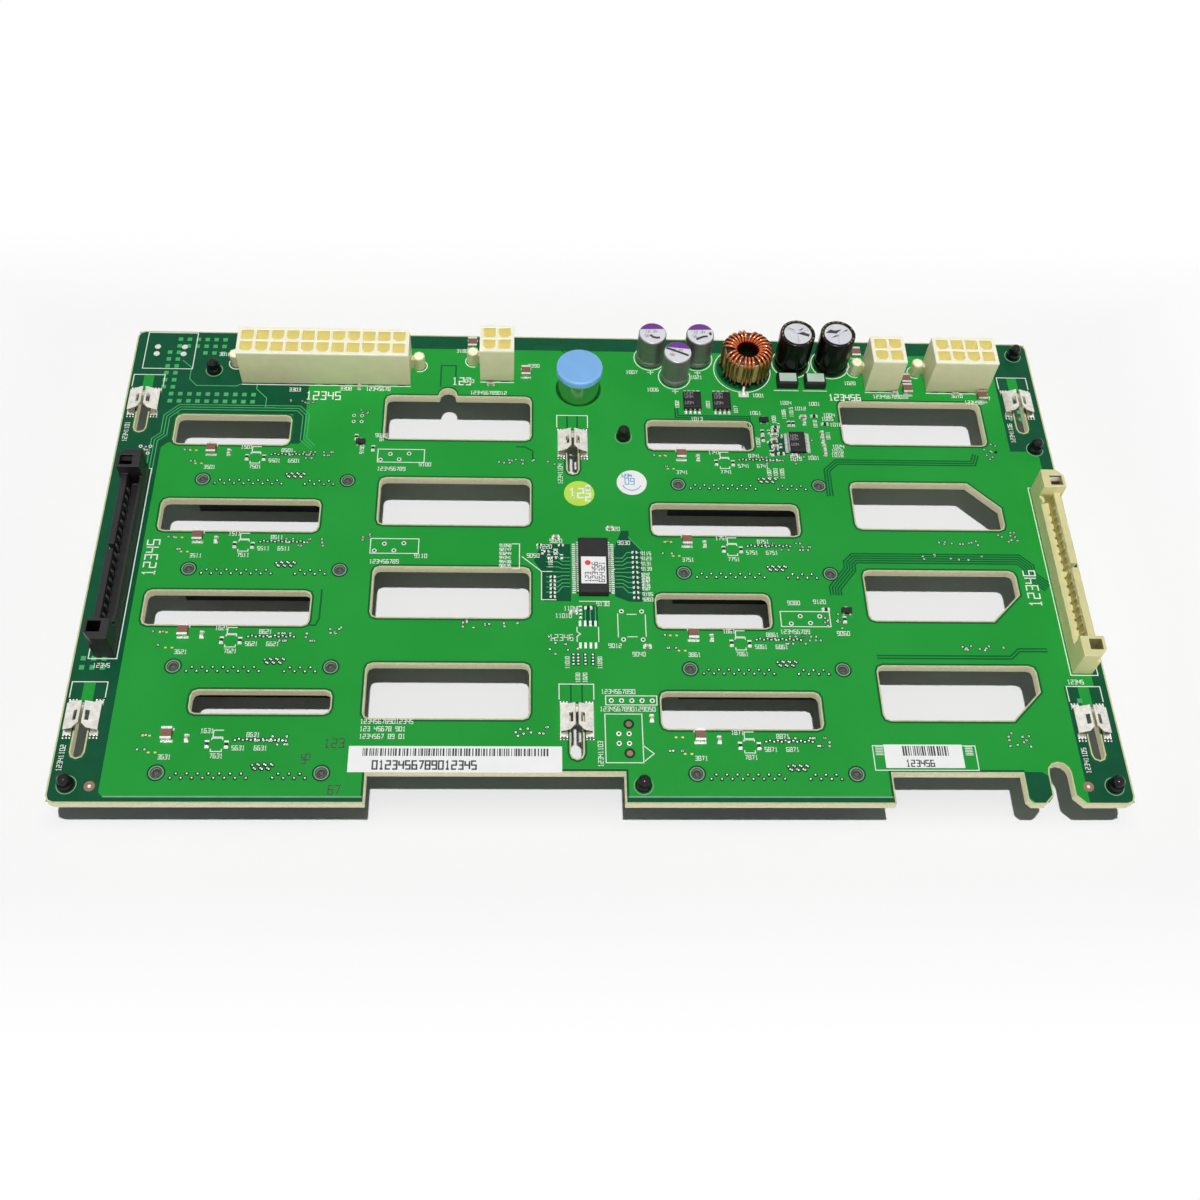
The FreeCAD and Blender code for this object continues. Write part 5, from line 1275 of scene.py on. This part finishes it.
discs = [disc_cut(x, y, TALL_RADIUS - 1.12, 0, 180)[:-1] for x, y in TALL]
raised_fields("electrolytic_tops", discs, TALL_TOP - 0.27, can_top)
VENT_MARKS = [
    [[(-0.2, 0.1), (2.4, -0.9), (2.7, -0.2), (1.3, 0.5)], [(-2.6, 1.9), (-0.6, 0.9), (-0.9, 1.3)],
     [(1.6, 1.9), (0.2, 1.0), (0.9, 1.0)]],
    [[(-2.8, 0.4), (-0.4, 0.2), (1.0, 1.5), (-0.6, 1.1), (-1.6, 1.4)],
     [(-1.8, -1.2), (0.4, -0.4), (-0.6, -0.3)],
     [(2.4, 1.5), (1.2, 0.9), (2.0, 0.9)]],
]
MARK_SCALE = 1.25
marks = [[(x + MARK_SCALE * a, y + MARK_SCALE * b) for a, b in mark]
         for (x, y), group in zip(TALL, VENT_MARKS) for mark in group]
for mark in marks:
    area = sum(a[0] * b[1] - b[0] * a[1] for a, b in zip(mark, mark[1:] + mark[:1]))
    if area < 0:
        mark.reverse()
raised_fields("vent_marks", marks, TALL_TOP - 0.255, can_ink)
scores = [[(x, y), (x + 3.5 * math.cos(turn), y + 3.5 * math.sin(turn))]
          for x, y in TALL for turn in (0.5, 2.6, 4.7)]
raised_strokes("electrolytic_scores", scores, 0.1, TALL_TOP - 0.26, can_grey)
sleeve_olive = finish("sleeve_olive", colour(124, 114, 66), 0.4, vary=0.3, blotch=900.0, shine=0.3)
LIP = TALL_RADIUS - 0.56
sleeve_bars = [ring_path(x, y, LIP, angle, angle + 11, 6) for x, y in TALL for angle in range(60, 200, 18)]
sleeve_bars += [ring_path(x, y, LIP, angle, angle + 9, 6) for x, y in TALL for angle in (20, 300, 316, 332)]
raised_strokes("sleeve_lip_marks", sleeve_bars, 0.34, TALL_TOP - 0.005, sleeve_olive)

# %% [markdown]
# ## The choke
# A powder core is wound with enamelled copper wire. Each turn is a rounded rectangle that leans out
# from the hole, goes over the top and comes down outside. One wire is a tube along that path; the turns
# gather in groups with gaps between them, as they do when the wire is wound by hand.
# %% Tubes along closed paths


def tube(path, radius, sides=8, closed=True):
    """A round tube along a path.

    Each ring is centre + radius * (cos a * side + sin a * out), where out points away from the path's
    middle, made square to the tangent, and side is the tangent crossed with out.
    """
    path = np.asarray(path, float)
    if closed:
        ahead = np.roll(path, -1, axis=0) - np.roll(path, 1, axis=0)
    else:
        ahead = np.gradient(path, axis=0)
    ahead /= np.linalg.norm(ahead, axis=1, keepdims=True)
    out = path - path.mean(axis=0)
    out -= ahead * (out * ahead).sum(axis=1, keepdims=True)
    out /= np.linalg.norm(out, axis=1, keepdims=True)
    side = np.cross(ahead, out)
    angle = np.arange(sides) * 2 * np.pi / sides
    swing = np.cos(angle)[:, None] * side[:, None] + np.sin(angle)[:, None] * out[:, None]
    rings = path[:, None] + radius * swing
    quads = grid_quads(len(path), sides, closed).tolist()
    if not closed:
        quads.append(list(range(sides))[::-1])
        quads.append([(len(path) - 1) * sides + item for item in range(sides)])
    return rings.reshape(-1, 3), quads


def outward(points, faces):
    """Turn all faces over when the closed form's volume comes out negative."""
    total = 0.0
    for face in faces:
        for first, second in zip(face[1:], face[2:]):
            total += np.dot(points[face[0]], np.cross(points[first], points[second]))
    return faces if total > 0 else [face[::-1] for face in faces]


core_low, core_high = limits("choke_core")
CORE_OUT = (core_high[0] - core_low[0]) / 2
CORE_IN = CORE_OUT - 3.0
CORE_LOW, CORE_TOP = core_low[2], core_high[2]
WIRE = 0.43
ARCH = 0.6


def arched(radius, height):
    """Lower the upper half towards the hole and the rim, by ARCH times the square of the share of the way."""
    middle = (CORE_IN + CORE_OUT) / 2
    share = (radius - middle) / (CORE_OUT - middle)
    upper = np.clip(2 * (height - CORE_LOW) / (CORE_TOP - CORE_LOW) - 1, 0.0, 1.0)
    return height - ARCH * np.minimum(share ** 2, 1.7) * upper


def wire_turn(inner_angle, outer_angle):
    """One turn of wire round the core's section, from its angle in the hole to its angle outside."""
    inner, outer = CORE_IN - WIRE - 0.02, CORE_OUT + WIRE + 0.01
    low, high = CORE_LOW - WIRE - 0.01, CORE_TOP + WIRE + 0.01
    corners = [(inner, low, inner_angle), (inner, high, inner_angle),
               (outer, high, outer_angle), (outer, low, outer_angle)]
    path = rounded_loop(corners, 0.85, 0.4)
    path.insert(2, np.linspace(path[1][-1], path[2][0], 8)[1:-1])
    path = np.concatenate(path)
    turn = np.radians(path[:, 2])
    height = arched(path[:, 0], path[:, 1])
    return np.column_stack([CHOKE_X + path[:, 0] * np.cos(turn), CHOKE_Y + path[:, 0] * np.sin(turn), height])


TURN_GROUPS = [(-101.0, 3, 9.5), (-62.0, 11, 12.4), (96.0, 2, 10.0), (122.0, 5, 12.5), (206.0, 4, 12.0)]
outer_angles = np.concatenate([first + pitch * np.arange(number) for first, number, pitch in TURN_GROUPS])
TURNS = len(outer_angles)
FIRST_INNER_ANGLE = -105.0
turns = []
for index, outer_angle in enumerate(outer_angles):
    points, faces = tube(wire_turn(FIRST_INNER_ANGLE + 360.0 * index / TURNS, outer_angle), WIRE - 0.02)
    turns.append((points, outward(points, faces)))
copper = finish("copper", colour(192, 98, 44), 0.22, metal=1.0, vary=0.2, blotch=500.0, skin=0.06)
copper_shader = copper.node_tree.nodes["Principled BSDF"]
copper_shader.inputs["Coat Weight"].default_value = 1.0
copper_shader.inputs["Coat Roughness"].default_value = 0.14
points, faces = joined(turns)
winding = make_piece("choke_wire_turns", points, faces, copper, smooth=True)
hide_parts("choke_winding")
print("turns of wire:", TURNS)

# %% The core between the turns

core_powder = finish("core_powder_coat", colour(180, 164, 108), 0.24, metal=0.3, vary=0.1, skin=0.1)
core_shade = finish("core_top_coat", colour(22, 19, 16), 0.4, vary=0.15, skin=0.3, shine=0.3)
solder = finish("solder", colour(216, 218, 214), 0.5, metal=0.5, vary=0.1)


def ring_profile():
    """A rounded rectangle in radius and height, as a closed loop."""
    corners = [(CORE_IN, CORE_LOW), (CORE_OUT, CORE_LOW), (CORE_OUT, CORE_TOP), (CORE_IN, CORE_TOP)]
    loop = rounded_loop(corners, 0.55)
    loop.insert(3, np.linspace(loop[2][-1], loop[3][0], 8)[1:-1])
    loop = np.concatenate(loop)
    return np.column_stack([loop[:, 0], arched(loop[:, 0], loop[:, 1])])


def make_ring(name, loop, x, y, material, sides=64):
    """A closed loop of radius and height, carried all the way round an axis."""
    angle = np.arange(sides)[:, None] * 2 * np.pi / sides
    radius, height = loop.T
    points = np.stack([x + radius * np.cos(angle), y + radius * np.sin(angle), height + 0 * angle], axis=-1)
    quads = grid_quads(sides, len(loop), True)[:, ::-1]
    return make_piece(name, points.reshape(-1, 3), quads, material, smooth=True)


core = make_ring("choke_core_coat", ring_profile(), CHOKE_X, CHOKE_Y, core_powder)
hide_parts("choke_core")
across = np.linspace(CORE_IN + 0.25, CORE_OUT - 0.25, 9)
skin = arched(across, CORE_TOP + 0 * across)
shade_heights = np.concatenate([skin - 0.12, skin[::-1] + 0.02])
shade_loop = np.column_stack([np.concatenate([across, across[::-1]]), shade_heights])
make_ring("choke_core_shade", shade_loop, CHOKE_X, CHOKE_Y, core_shade)
# Painted shadow: a dark disc of mask on the board under the choke, inside its silk ring.
make_dots("choke_painted_shadow", [(CHOKE_X, CHOKE_Y)], 8.0, TOP, 0.014, mask_dark, sides=48)
LEAD_X = CHOKE_X - 0.8
lead = np.column_stack([
    LEAD_X + 0.15 * np.sin(np.linspace(0, 9, 16)),
    np.linspace(CHOKE_Y - 7.4, CHOKE_Y - 9.4, 16),
    TOP + 0.55 + 0.2 * np.cos(np.linspace(0, 3, 16)),
])
points, faces = tube(lead, 0.42, closed=False)
make_piece("choke_lead", points, outward(points, faces), solder, smooth=True)
make_blocks("choke_pad", [(LEAD_X, CHOKE_Y - 9.4, TOP, 2.9, 2.0, 0.05)], solder)
make_dots("choke_joint", [(LEAD_X, CHOKE_Y - 9.2)], 0.95, TOP + 0.05, 0.3, solder, sides=20,
          dome=0.4)

# %% [markdown]
# ## The plunger
# A blue knob on a plated barrel locks the board into its rack. The knob rides on the moving body, so
# it lifts with the joint, and the barrel rides on the board.
# %% Turn the knob and the barrel

PLUNGER_X, PLUNGER_Y, _ = middle_of("plunger_knob")
knob_low, knob_high = limits("plunger_knob")
KNOB = (knob_high[0] - knob_low[0]) / 2
knob_profile = rounded([
    (0, knob_low[2]), (KNOB - 0.2, knob_low[2]), (KNOB, knob_low[2] + 0.3), (KNOB, knob_high[2] - 0.35),
    (KNOB - 0.45, knob_high[2]), (0, knob_high[2]),
], 0.35)
knob_cap = turn_pieces("plunger_cap", knob_profile, [(PLUNGER_X, PLUNGER_Y)], knob_blue,
                       "plunger", 72)
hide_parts("plunger_knob")
barrel_low, barrel_high = limits("plunger_barrel")
BARREL = (barrel_high[0] - barrel_low[0]) / 2
barrel_loop = np.array([
    (1.62, barrel_low[2]), (3.95, barrel_low[2]), (3.98, barrel_low[2] + 0.1), (3.98, UNDER),
    (3.98, TOP + 0.01), (BARREL - 0.1, TOP + 0.01), (BARREL, TOP + 0.15), (BARREL, barrel_high[2] - 0.25),
    (BARREL - 0.25, barrel_high[2]), (1.62, barrel_high[2]),
])
barrel_steel = finish("barrel_steel", colour(206, 200, 186), 0.24, metal=1.0, vary=0.05, blotch=400.0,
                      skin=0.06)
barrel = make_ring("plunger_sleeve", barrel_loop, PLUNGER_X, PLUNGER_Y, barrel_steel, 72)
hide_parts("plunger_barrel")
barrel.data.polygons.foreach_set("use_smooth", np.full(len(barrel.data.polygons), False))
print("knob radius", round(float(KNOB), 2), "mm, barrel radius", round(float(BARREL), 2), "mm")

# %% [markdown]
# ## Snap-in posts
# Black posts are pressed through the board from below, and their barbed heads show on top, each on a
# pale ring of bare board. The heads are one turned shape, repeated at the middle of every CAD solid.
# %% Turn the posts

posts = group_middles("snap_in_posts", 7.0, digits=2)
post_low, post_high = limits("snap_in_posts")
HEAD = post_high[2]
post_profile = rounded([
    (0, UNDER - 0.1), (1.25, UNDER - 0.1), (1.28, TOP - 0.02), (2.0, TOP + 0.02), (2.05, TOP + 1.0),
    (1.56, TOP + 1.9), (1.66, TOP + 2.4), (1.5, HEAD - 0.9), (0.9, HEAD - 0.05), (0, HEAD - 0.02),
], 0.3)
gloss_black = finish("gloss_black", colour(12, 12, 13), 0.16, vary=0.2, skin=0.03, shine=0.28)
post_heads = turn_pieces("post_heads", post_profile, posts, gloss_black, sides=28)
flange = [(0, post_low[2] + 0.01), (2.35, post_low[2] + 0.01), (2.5, UNDER - 0.5), (2.5, UNDER - 0.02),
          (0, UNDER - 0.02)]
turn_pieces("post_flanges", flange, posts, black_plastic, sides=24)
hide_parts("snap_in_posts")
make_strokes("post_rings", [ring_path(x, y, 2.3, steps=28) for x, y in posts], 0.22, 0.03, mask_edge)
print("posts:", len(posts))

# %% [markdown]
# ## Softened mouldings
# A moulded or folded part has no sharp edges: its corners catch the light. A CAD node's mesh is never
# changed, so each of these parts is copied, its loose triangles are merged and joined into flat faces,
# and a small Bevel finishes the copy, which then stands for the node.
# %% Copy a node and soften it


def line_cells(piece, lining):
    """Give the walls and floors of a socket's cells a second material.

    The rim's points bound the housing, and every face whose middle lies well inside them, below the
    rim, belongs to a cell.
    """
    mesh = piece.data
    points = points_of(mesh)
    rim = points[points[:, 2] > points[:, 2].max() - 0.01][:, :2]
    middles = np.empty(len(mesh.polygons) * 3)
    mesh.polygons.foreach_get("center", middles)
    middles = middles.reshape(-1, 3) / MM
    inside = ((middles[:, :2] > rim.min(axis=0) + 0.7) & (middles[:, :2] < rim.max(axis=0) - 0.7)).all(axis=1)
    inside &= (middles[:, 2] < points[:, 2].max() - 0.05) & (middles[:, 2] > TOP + 0.5)
    mesh.materials.append(lining)
    mesh.polygons.foreach_set("material_index", inside.astype(np.int32))


def softened(node, width, material, segments=2, lining=None):
    """A merged copy of a CAD node with flat faces rebuilt and its edges bevelled."""
    source = nodes[node].data
    spots = np.round(points_of(source), 4)
    _, first, same = np.unique(spots, axis=0, return_index=True, return_inverse=True)
    loops = np.empty(len(source.loops), int)
    source.loops.foreach_get("vertex_index", loops)
    triangles = same.ravel()[loops].reshape(-1, 3)
    triangles = triangles[(triangles[:, 0] != triangles[:, 1]) & (triangles[:, 1] != triangles[:, 2])
                          & (triangles[:, 2] != triangles[:, 0])]
    piece = make_piece(node + "_soft", spots[first], triangles, material)
    form = bmesh.new()
    form.from_mesh(piece.data)
    bmesh.ops.dissolve_limit(form, angle_limit=math.radians(2), verts=form.verts, edges=form.edges)
    form.to_mesh(piece.data)
    form.free()
    if lining is not None:
        line_cells(piece, lining)
    bevel = piece.modifiers.new("edges", "BEVEL")
    bevel.width = width * MM
    bevel.segments = segments
    bevel.limit_method = "ANGLE"
    bevel.angle_limit = math.radians(35)
    bevel.harden_normals = False
    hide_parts(node)


for socket in POWER_NODES:
    softened(socket, 0.14, ivory_nylon, lining=cell_painted_glow)
softened("right_cable_socket", 0.16, ivory_plain)
softened("left_cable_socket", 0.16, black_plastic)
for number in range(1, 7):
    softened(f"ground_clip_{number}", 0.05, clip_tin, 1)
for chip in ("controller_chip", "regulator_chip", "power_switch_1", "power_switch_2",
             "diode_block_1", "diode_block_2"):
    softened(chip, 0.09, chip_black, 1)
plate = finish("diode_plate", colour(186, 208, 192), 0.12, vary=0.06, skin=0.05)
plates = []
for number in (1, 2):
    low, high = limits(f"diode_block_{number}")
    plates.append(box_corners(low[0] + 0.55, low[1] + 0.7, high[0] - 0.55, high[1] - 0.5))
raised_fields("diode_plates", plates, high[2] + 0.002, plate)
for chip, size in (("power_switch_1", 0.9), ("power_switch_2", 0.9), ("regulator_chip", 0.8)):
    low, high = limits(chip)
    middle, top = (low + high) / 2, high[2] + 0.004
    rows = [number_strokes("1234", middle[0] - 2.6 * size, middle[1] + row * size, size)
            for row in (-2.0, 0.4, 1.8)]
    raised_strokes(chip + "_numbers", sum(rows, []), 0.14, top, can_grey)

# %% [markdown]
# ## The feet of the power sockets
# Each housing stands on a row of small feet, and silk arcs run round the pegs at its ends. The dark
# gaps between the feet are painted shade: the dashes below are thin black plates against the foot of the
# front wall.
# %% Painted shade in the gaps under the front wall, and arcs round the pegs

CELL_PITCH = 4.2
PEG_REACH = 3.9
feet, foot_lines, peg_arcs, arm_caps = [], [], [], []
for node in POWER_NODES:
    low, high = limits(node)
    left = low[0] + PEG_REACH
    right = high[0] - (PEG_REACH if node == "main_power_socket" else 0.0)
    count = int(round((right - left - 1.2) / CELL_PITCH))
    for index in range(count):
        feet.append((left + 0.6 + CELL_PITCH * (index + 0.5), low[1] - 0.19, TOP, 2.1, 0.38, 0.05))
    foot_lines.append([(left, low[1] - 0.55), (right, low[1] - 0.55)])
    arms = [(low[0] + 1.7, 70.0)] + ([(high[0] - 1.7, -110.0)] if node == "main_power_socket" else [])
    for place, first in arms:
        peg_arcs.append(ring_path(place, low[1] + 7.1, 2.15, first, first + 220.0, 24))
        arm_caps.append((place, low[1] + 7.1))
# Painted shade: black plates stand for the dark gaps under the front wall.
make_blocks("foot_gap_painted_shade", feet, ink_black)
# Painted highlight: the tops of the arms wear the paler copy of the nylon.
make_dots("arm_caps", arm_caps, 1.5, TOP + 4.36, 0.1, ivory_painted_highlight, sides=8, dome=0.25)
make_strokes("foot_lines", foot_lines + peg_arcs, 0.24, 0.032, silk_white)

# %% [markdown]
# ## Labels
# Paper labels lie on the board: a long white one with a bar pattern, a small one in an outlined box,
# and two round ones. The bars have widths from a seeded generator and stand for no real code.
# %% Bar labels and round labels


def bars(left, right, low, high, seed):
    """Upright bars of random widths between two ends."""
    generator = np.random.default_rng(seed)
    edges = left + np.cumsum(generator.choice([0.18, 0.3, 0.45], 400))
    edges = edges[edges < right]
    starts, ends = edges[0:-1:2], edges[1::2]
    return [box_corners(start, low, end, high) for start, end in zip(starts, ends)]


make_blocks("long_label", [(-34.3, -61.4, TOP, 51.2, 6.8, 0.1)], label_white)
PRINT_LIFT = 0.112
make_fields("long_label_bars", bars(-57.0, -12.0, -60.6, -58.6, 3), PRINT_LIFT, ink_black)
make_strokes("long_label_print", number_strokes("0123456789012345", -54.0, -64.0, 2.1), 0.4, PRINT_LIFT,
             ink_black)
make_blocks("small_label", [(79.6, -60.3, TOP, 19.4, 6.2, 0.1)], label_white)
make_fields("small_label_bars", bars(74.0, 86.4, -60.2, -57.6, 5), PRINT_LIFT, ink_black)
make_strokes("small_label_print", number_strokes("123456", 75.0, -63.0, 1.6), 0.3, PRINT_LIFT, ink_black)
hatch_lines = [[(left, -57.8 - 0.42 * step), (left + 1.9, -57.8 - 0.42 * step)]
               for left in (67.8, 90.0) for step in range(6)]
make_strokes("small_label_hatch", hatch_lines, 0.2, 0.026, silk_white)
for name, spot, shade in (("green", (-3.4, 17.0), label_green), ("white", (11.0, 20.8), label_white)):
    make_dots(name + "_round_label", [spot], 4.1, TOP, STICKER, shade, sides=48)
green_print = number_strokes("12", -6.0, 15.6, 3.0) + number_strokes("2", -1.6, 14.6, 2.4)
green_print += number_strokes("8", -1.4, 18.0, 1.6)
make_strokes("green_label_print", green_print, 0.5, STICKER + 0.01, silk_white)
white_print = [ring_path(11.0, 20.8, 2.6, 200, 340, 16)] + number_strokes("09", 9.2, 20.2, 2.0)
white_print += number_strokes("1234", 8.2, 22.6, 1.0)
make_strokes("white_label_print", white_print, 0.28, STICKER + 0.01, ink_blue)

# %% [markdown]
# ## The underside
# The drive sockets stand on the far side with their solder on top, and the other way round for the
# parts on top: their pins end in joints below. Rows of domes under each power socket and each cable
# socket show it.
# %% Joints below the board


def under_dots(name, centres, radius, material, dome, sides):
    """Domes that hang from the underside: the dots of the top, turned over in height."""
    piece = make_dots(name, centres, radius, 0.0, 0.06, material, sides=sides, dome=dome)
    mesh = piece.data
    points = points_of(mesh)
    points[:, 2] = UNDER - points[:, 2]
    mesh.vertices.foreach_set("co", (points * MM).ravel())
    mesh.flip_normals()
    mesh.update()


power_joints = []
for node in POWER_NODES:
    x, y, _ = middle_of(node)
    low, high = limits(node)
    columns = int(round((high[0] - low[0] - 1.2) / CELL_PITCH))
    across = x + CELL_PITCH * (np.arange(columns) - (columns - 1) / 2)
    power_joints += [(a, y + side * CELL_PITCH / 2) for a in across for side in (-1, 1)]
under_dots("power_joints", power_joints, 1.0, tin_dull, 0.7, 14)
cable_joints = []
for node in ("left_cable_socket", "right_cable_socket"):
    x, y, _ = middle_of(node)
    for side in (-1.9, -0.6, 0.6, 1.9):
        cable_joints += [(x + side, y + step) for step in np.arange(-22.5, 22.6, 1.27)]
under_dots("cable_joints", cable_joints, 0.36, tin_dull, 0.25, 8)
can_joints = [(x + side, y) for x, y in CANS + TALL for side in (-1.75, 1.75)]
can_joints += [(LEAD_X, CHOKE_Y - 8.9), (CHOKE_X + 0.8, CHOKE_Y + 8.0)]
under_dots("can_joints", can_joints, 0.95, tin_dull, 0.6, 14)

# %% [markdown]
# ## Camera, floor and light
# The camera looks down on the board from the front. The floor is pale, with a little painted shade
# under the board. One small lamp nearly straight above gives the crisp shadow below the windows. The
# world is dim above and bright along the horizon, so it opens the upright faces and leaves the shadow
# dark, and it is plain white to the camera and to gloss, so metal has something bright to reflect.
# %% The camera

camera_data = bpy.data.cameras.new("camera")
camera_data.lens = 42.529
camera_data.sensor_width = 36.0
camera_data.shift_x = 0.01504
camera_data.shift_y = -0.0410
camera = bpy.data.objects.new("camera", camera_data)
camera.location = (-0.019409, -0.204733, 0.324302)
camera.rotation_euler = (math.radians(32.966), math.radians(-2.398), math.radians(-0.941))
bpy.context.scene.collection.objects.link(camera)
bpy.context.scene.camera = camera

# %% The floor and the background


def make_floor_finish():
    """A matt white that keeps the object's shadow, with painted shade: a little greyer under the board."""
    material, tree, shader, place = new_material("studio_floor")
    split = split_xyz(tree, place)
    across = math_node(tree, "MULTIPLY", math_node(tree, "ABSOLUTE", split["X"]), 1.0 / (EAST * MM))
    along = math_node(tree, "MULTIPLY", math_node(tree, "ABSOLUTE", split["Y"]), 1.0 / (NORTH * MM))
    far = math_node(tree, "MAXIMUM", across, along)
    reach = math_node(tree, "MULTIPLY", far, 0.5)
    # Painted shade: the floor's colour is greyer within the board's footprint than outside it.
    shade = ramp(tree, reach, [(0.46, (0.86, 0.86, 0.865, 1.0)), (0.52, (0.99, 0.99, 0.99, 1.0))])
    tree.links.new(shade, shader.inputs["Base Color"])
    shader.inputs["Roughness"].default_value = 0.9
    shader.inputs["Specular IOR Level"].default_value = 0.0
    backdrop = tree.nodes.new("ShaderNodeEmission")
    backdrop.inputs["Color"].default_value = (1.0, 1.0, 1.0, 1.0)
    fade = ramp(tree, reach, [(0.6, (0.0, 0.0, 0.0, 1.0)), (0.85, (1.0, 1.0, 1.0, 1.0))])
    to_camera = tree.nodes.new("ShaderNodeLightPath").outputs["Is Camera Ray"]
    blend = tree.nodes.new("ShaderNodeMixShader")
    tree.links.new(math_node(tree, "MULTIPLY", fade, to_camera), blend.inputs["Fac"])
    tree.links.new(shader.outputs["BSDF"], blend.inputs[1])
    tree.links.new(backdrop.outputs["Emission"], blend.inputs[2])
    tree.links.new(blend.outputs["Shader"], tree.nodes["Material Output"].inputs["Surface"])
    return material


FLOOR_REACH = 6.0
FLOOR_LEVEL = -0.0002
floor_mesh = bpy.data.meshes.new("floor")
floor_corners = [(x, y, FLOOR_LEVEL)
                 for x, y in box_corners(-FLOOR_REACH, -FLOOR_REACH, FLOOR_REACH, FLOOR_REACH)]
floor_mesh.from_pydata(floor_corners, [], [(0, 1, 2, 3)])
floor_mesh.materials.append(make_floor_finish())
floor = bpy.data.objects.new("floor", floor_mesh)
bpy.context.scene.collection.objects.link(floor)

world = bpy.data.worlds.new("studio")
world.use_nodes = True
bpy.context.scene.world = world
SKY_LEVEL = 0.055
HORIZON_LEVEL = 6.4
HORIZON_BAND = 0.085
FRONT_SHARE = 0.35
sky_tree = world.node_tree
sky = sky_tree.nodes["Background"]
sky.inputs["Color"].default_value = (1.0, 1.0, 1.0, 1.0)
path = sky_tree.nodes.new("ShaderNodeLightPath")
seen = math_node(sky_tree, "MAXIMUM", path.outputs["Is Camera Ray"], path.outputs["Is Glossy Ray"])
seen = math_node(sky_tree, "MAXIMUM", seen, path.outputs["Is Transmission Ray"])
direction = sky_tree.nodes.new("ShaderNodeNewGeometry")
parts = split_xyz(sky_tree, direction.outputs["Incoming"])
band = math_node(sky_tree, "LESS_THAN", math_node(sky_tree, "ABSOLUTE", parts["Z"]), HORIZON_BAND)
from_front = math_node(sky_tree, "MULTIPLY_ADD", parts["Y"], FRONT_SHARE, 1.0)
glow = math_node(sky_tree, "MULTIPLY", math_node(sky_tree, "MULTIPLY", band, from_front), HORIZON_LEVEL)
unseen = math_node(sky_tree, "SUBTRACT", 1.0, seen)
dim = math_node(sky_tree, "MULTIPLY", math_node(sky_tree, "ADD", glow, SKY_LEVEL), unseen)
sky_tree.links.new(math_node(sky_tree, "ADD", dim, seen), sky.inputs["Strength"])

# %% The lamp


def sun_lamp(name, azimuth, elevation, level, softness):
    """Parallel light: azimuth 0 comes from the front (-Y) and 90 from the right; the softness is an angle.

    A white surface that faces the lamp takes on the level, because the strength is pi times it.
    """
    lamp = bpy.data.lights.new(name, "SUN")
    lamp.energy = level * math.pi
    lamp.angle = math.radians(softness)
    holder = bpy.data.objects.new(name, lamp)
    holder.rotation_euler = (math.radians(90.0 - elevation), 0.0, math.radians(azimuth))
    holder.location = (0.0, 0.0, 0.6)
    bpy.context.scene.collection.objects.link(holder)


sun_lamp("overhead", 0.0, 87.0, 0.84, 2.0)
bpy.context.scene.view_settings.view_transform = "Standard"
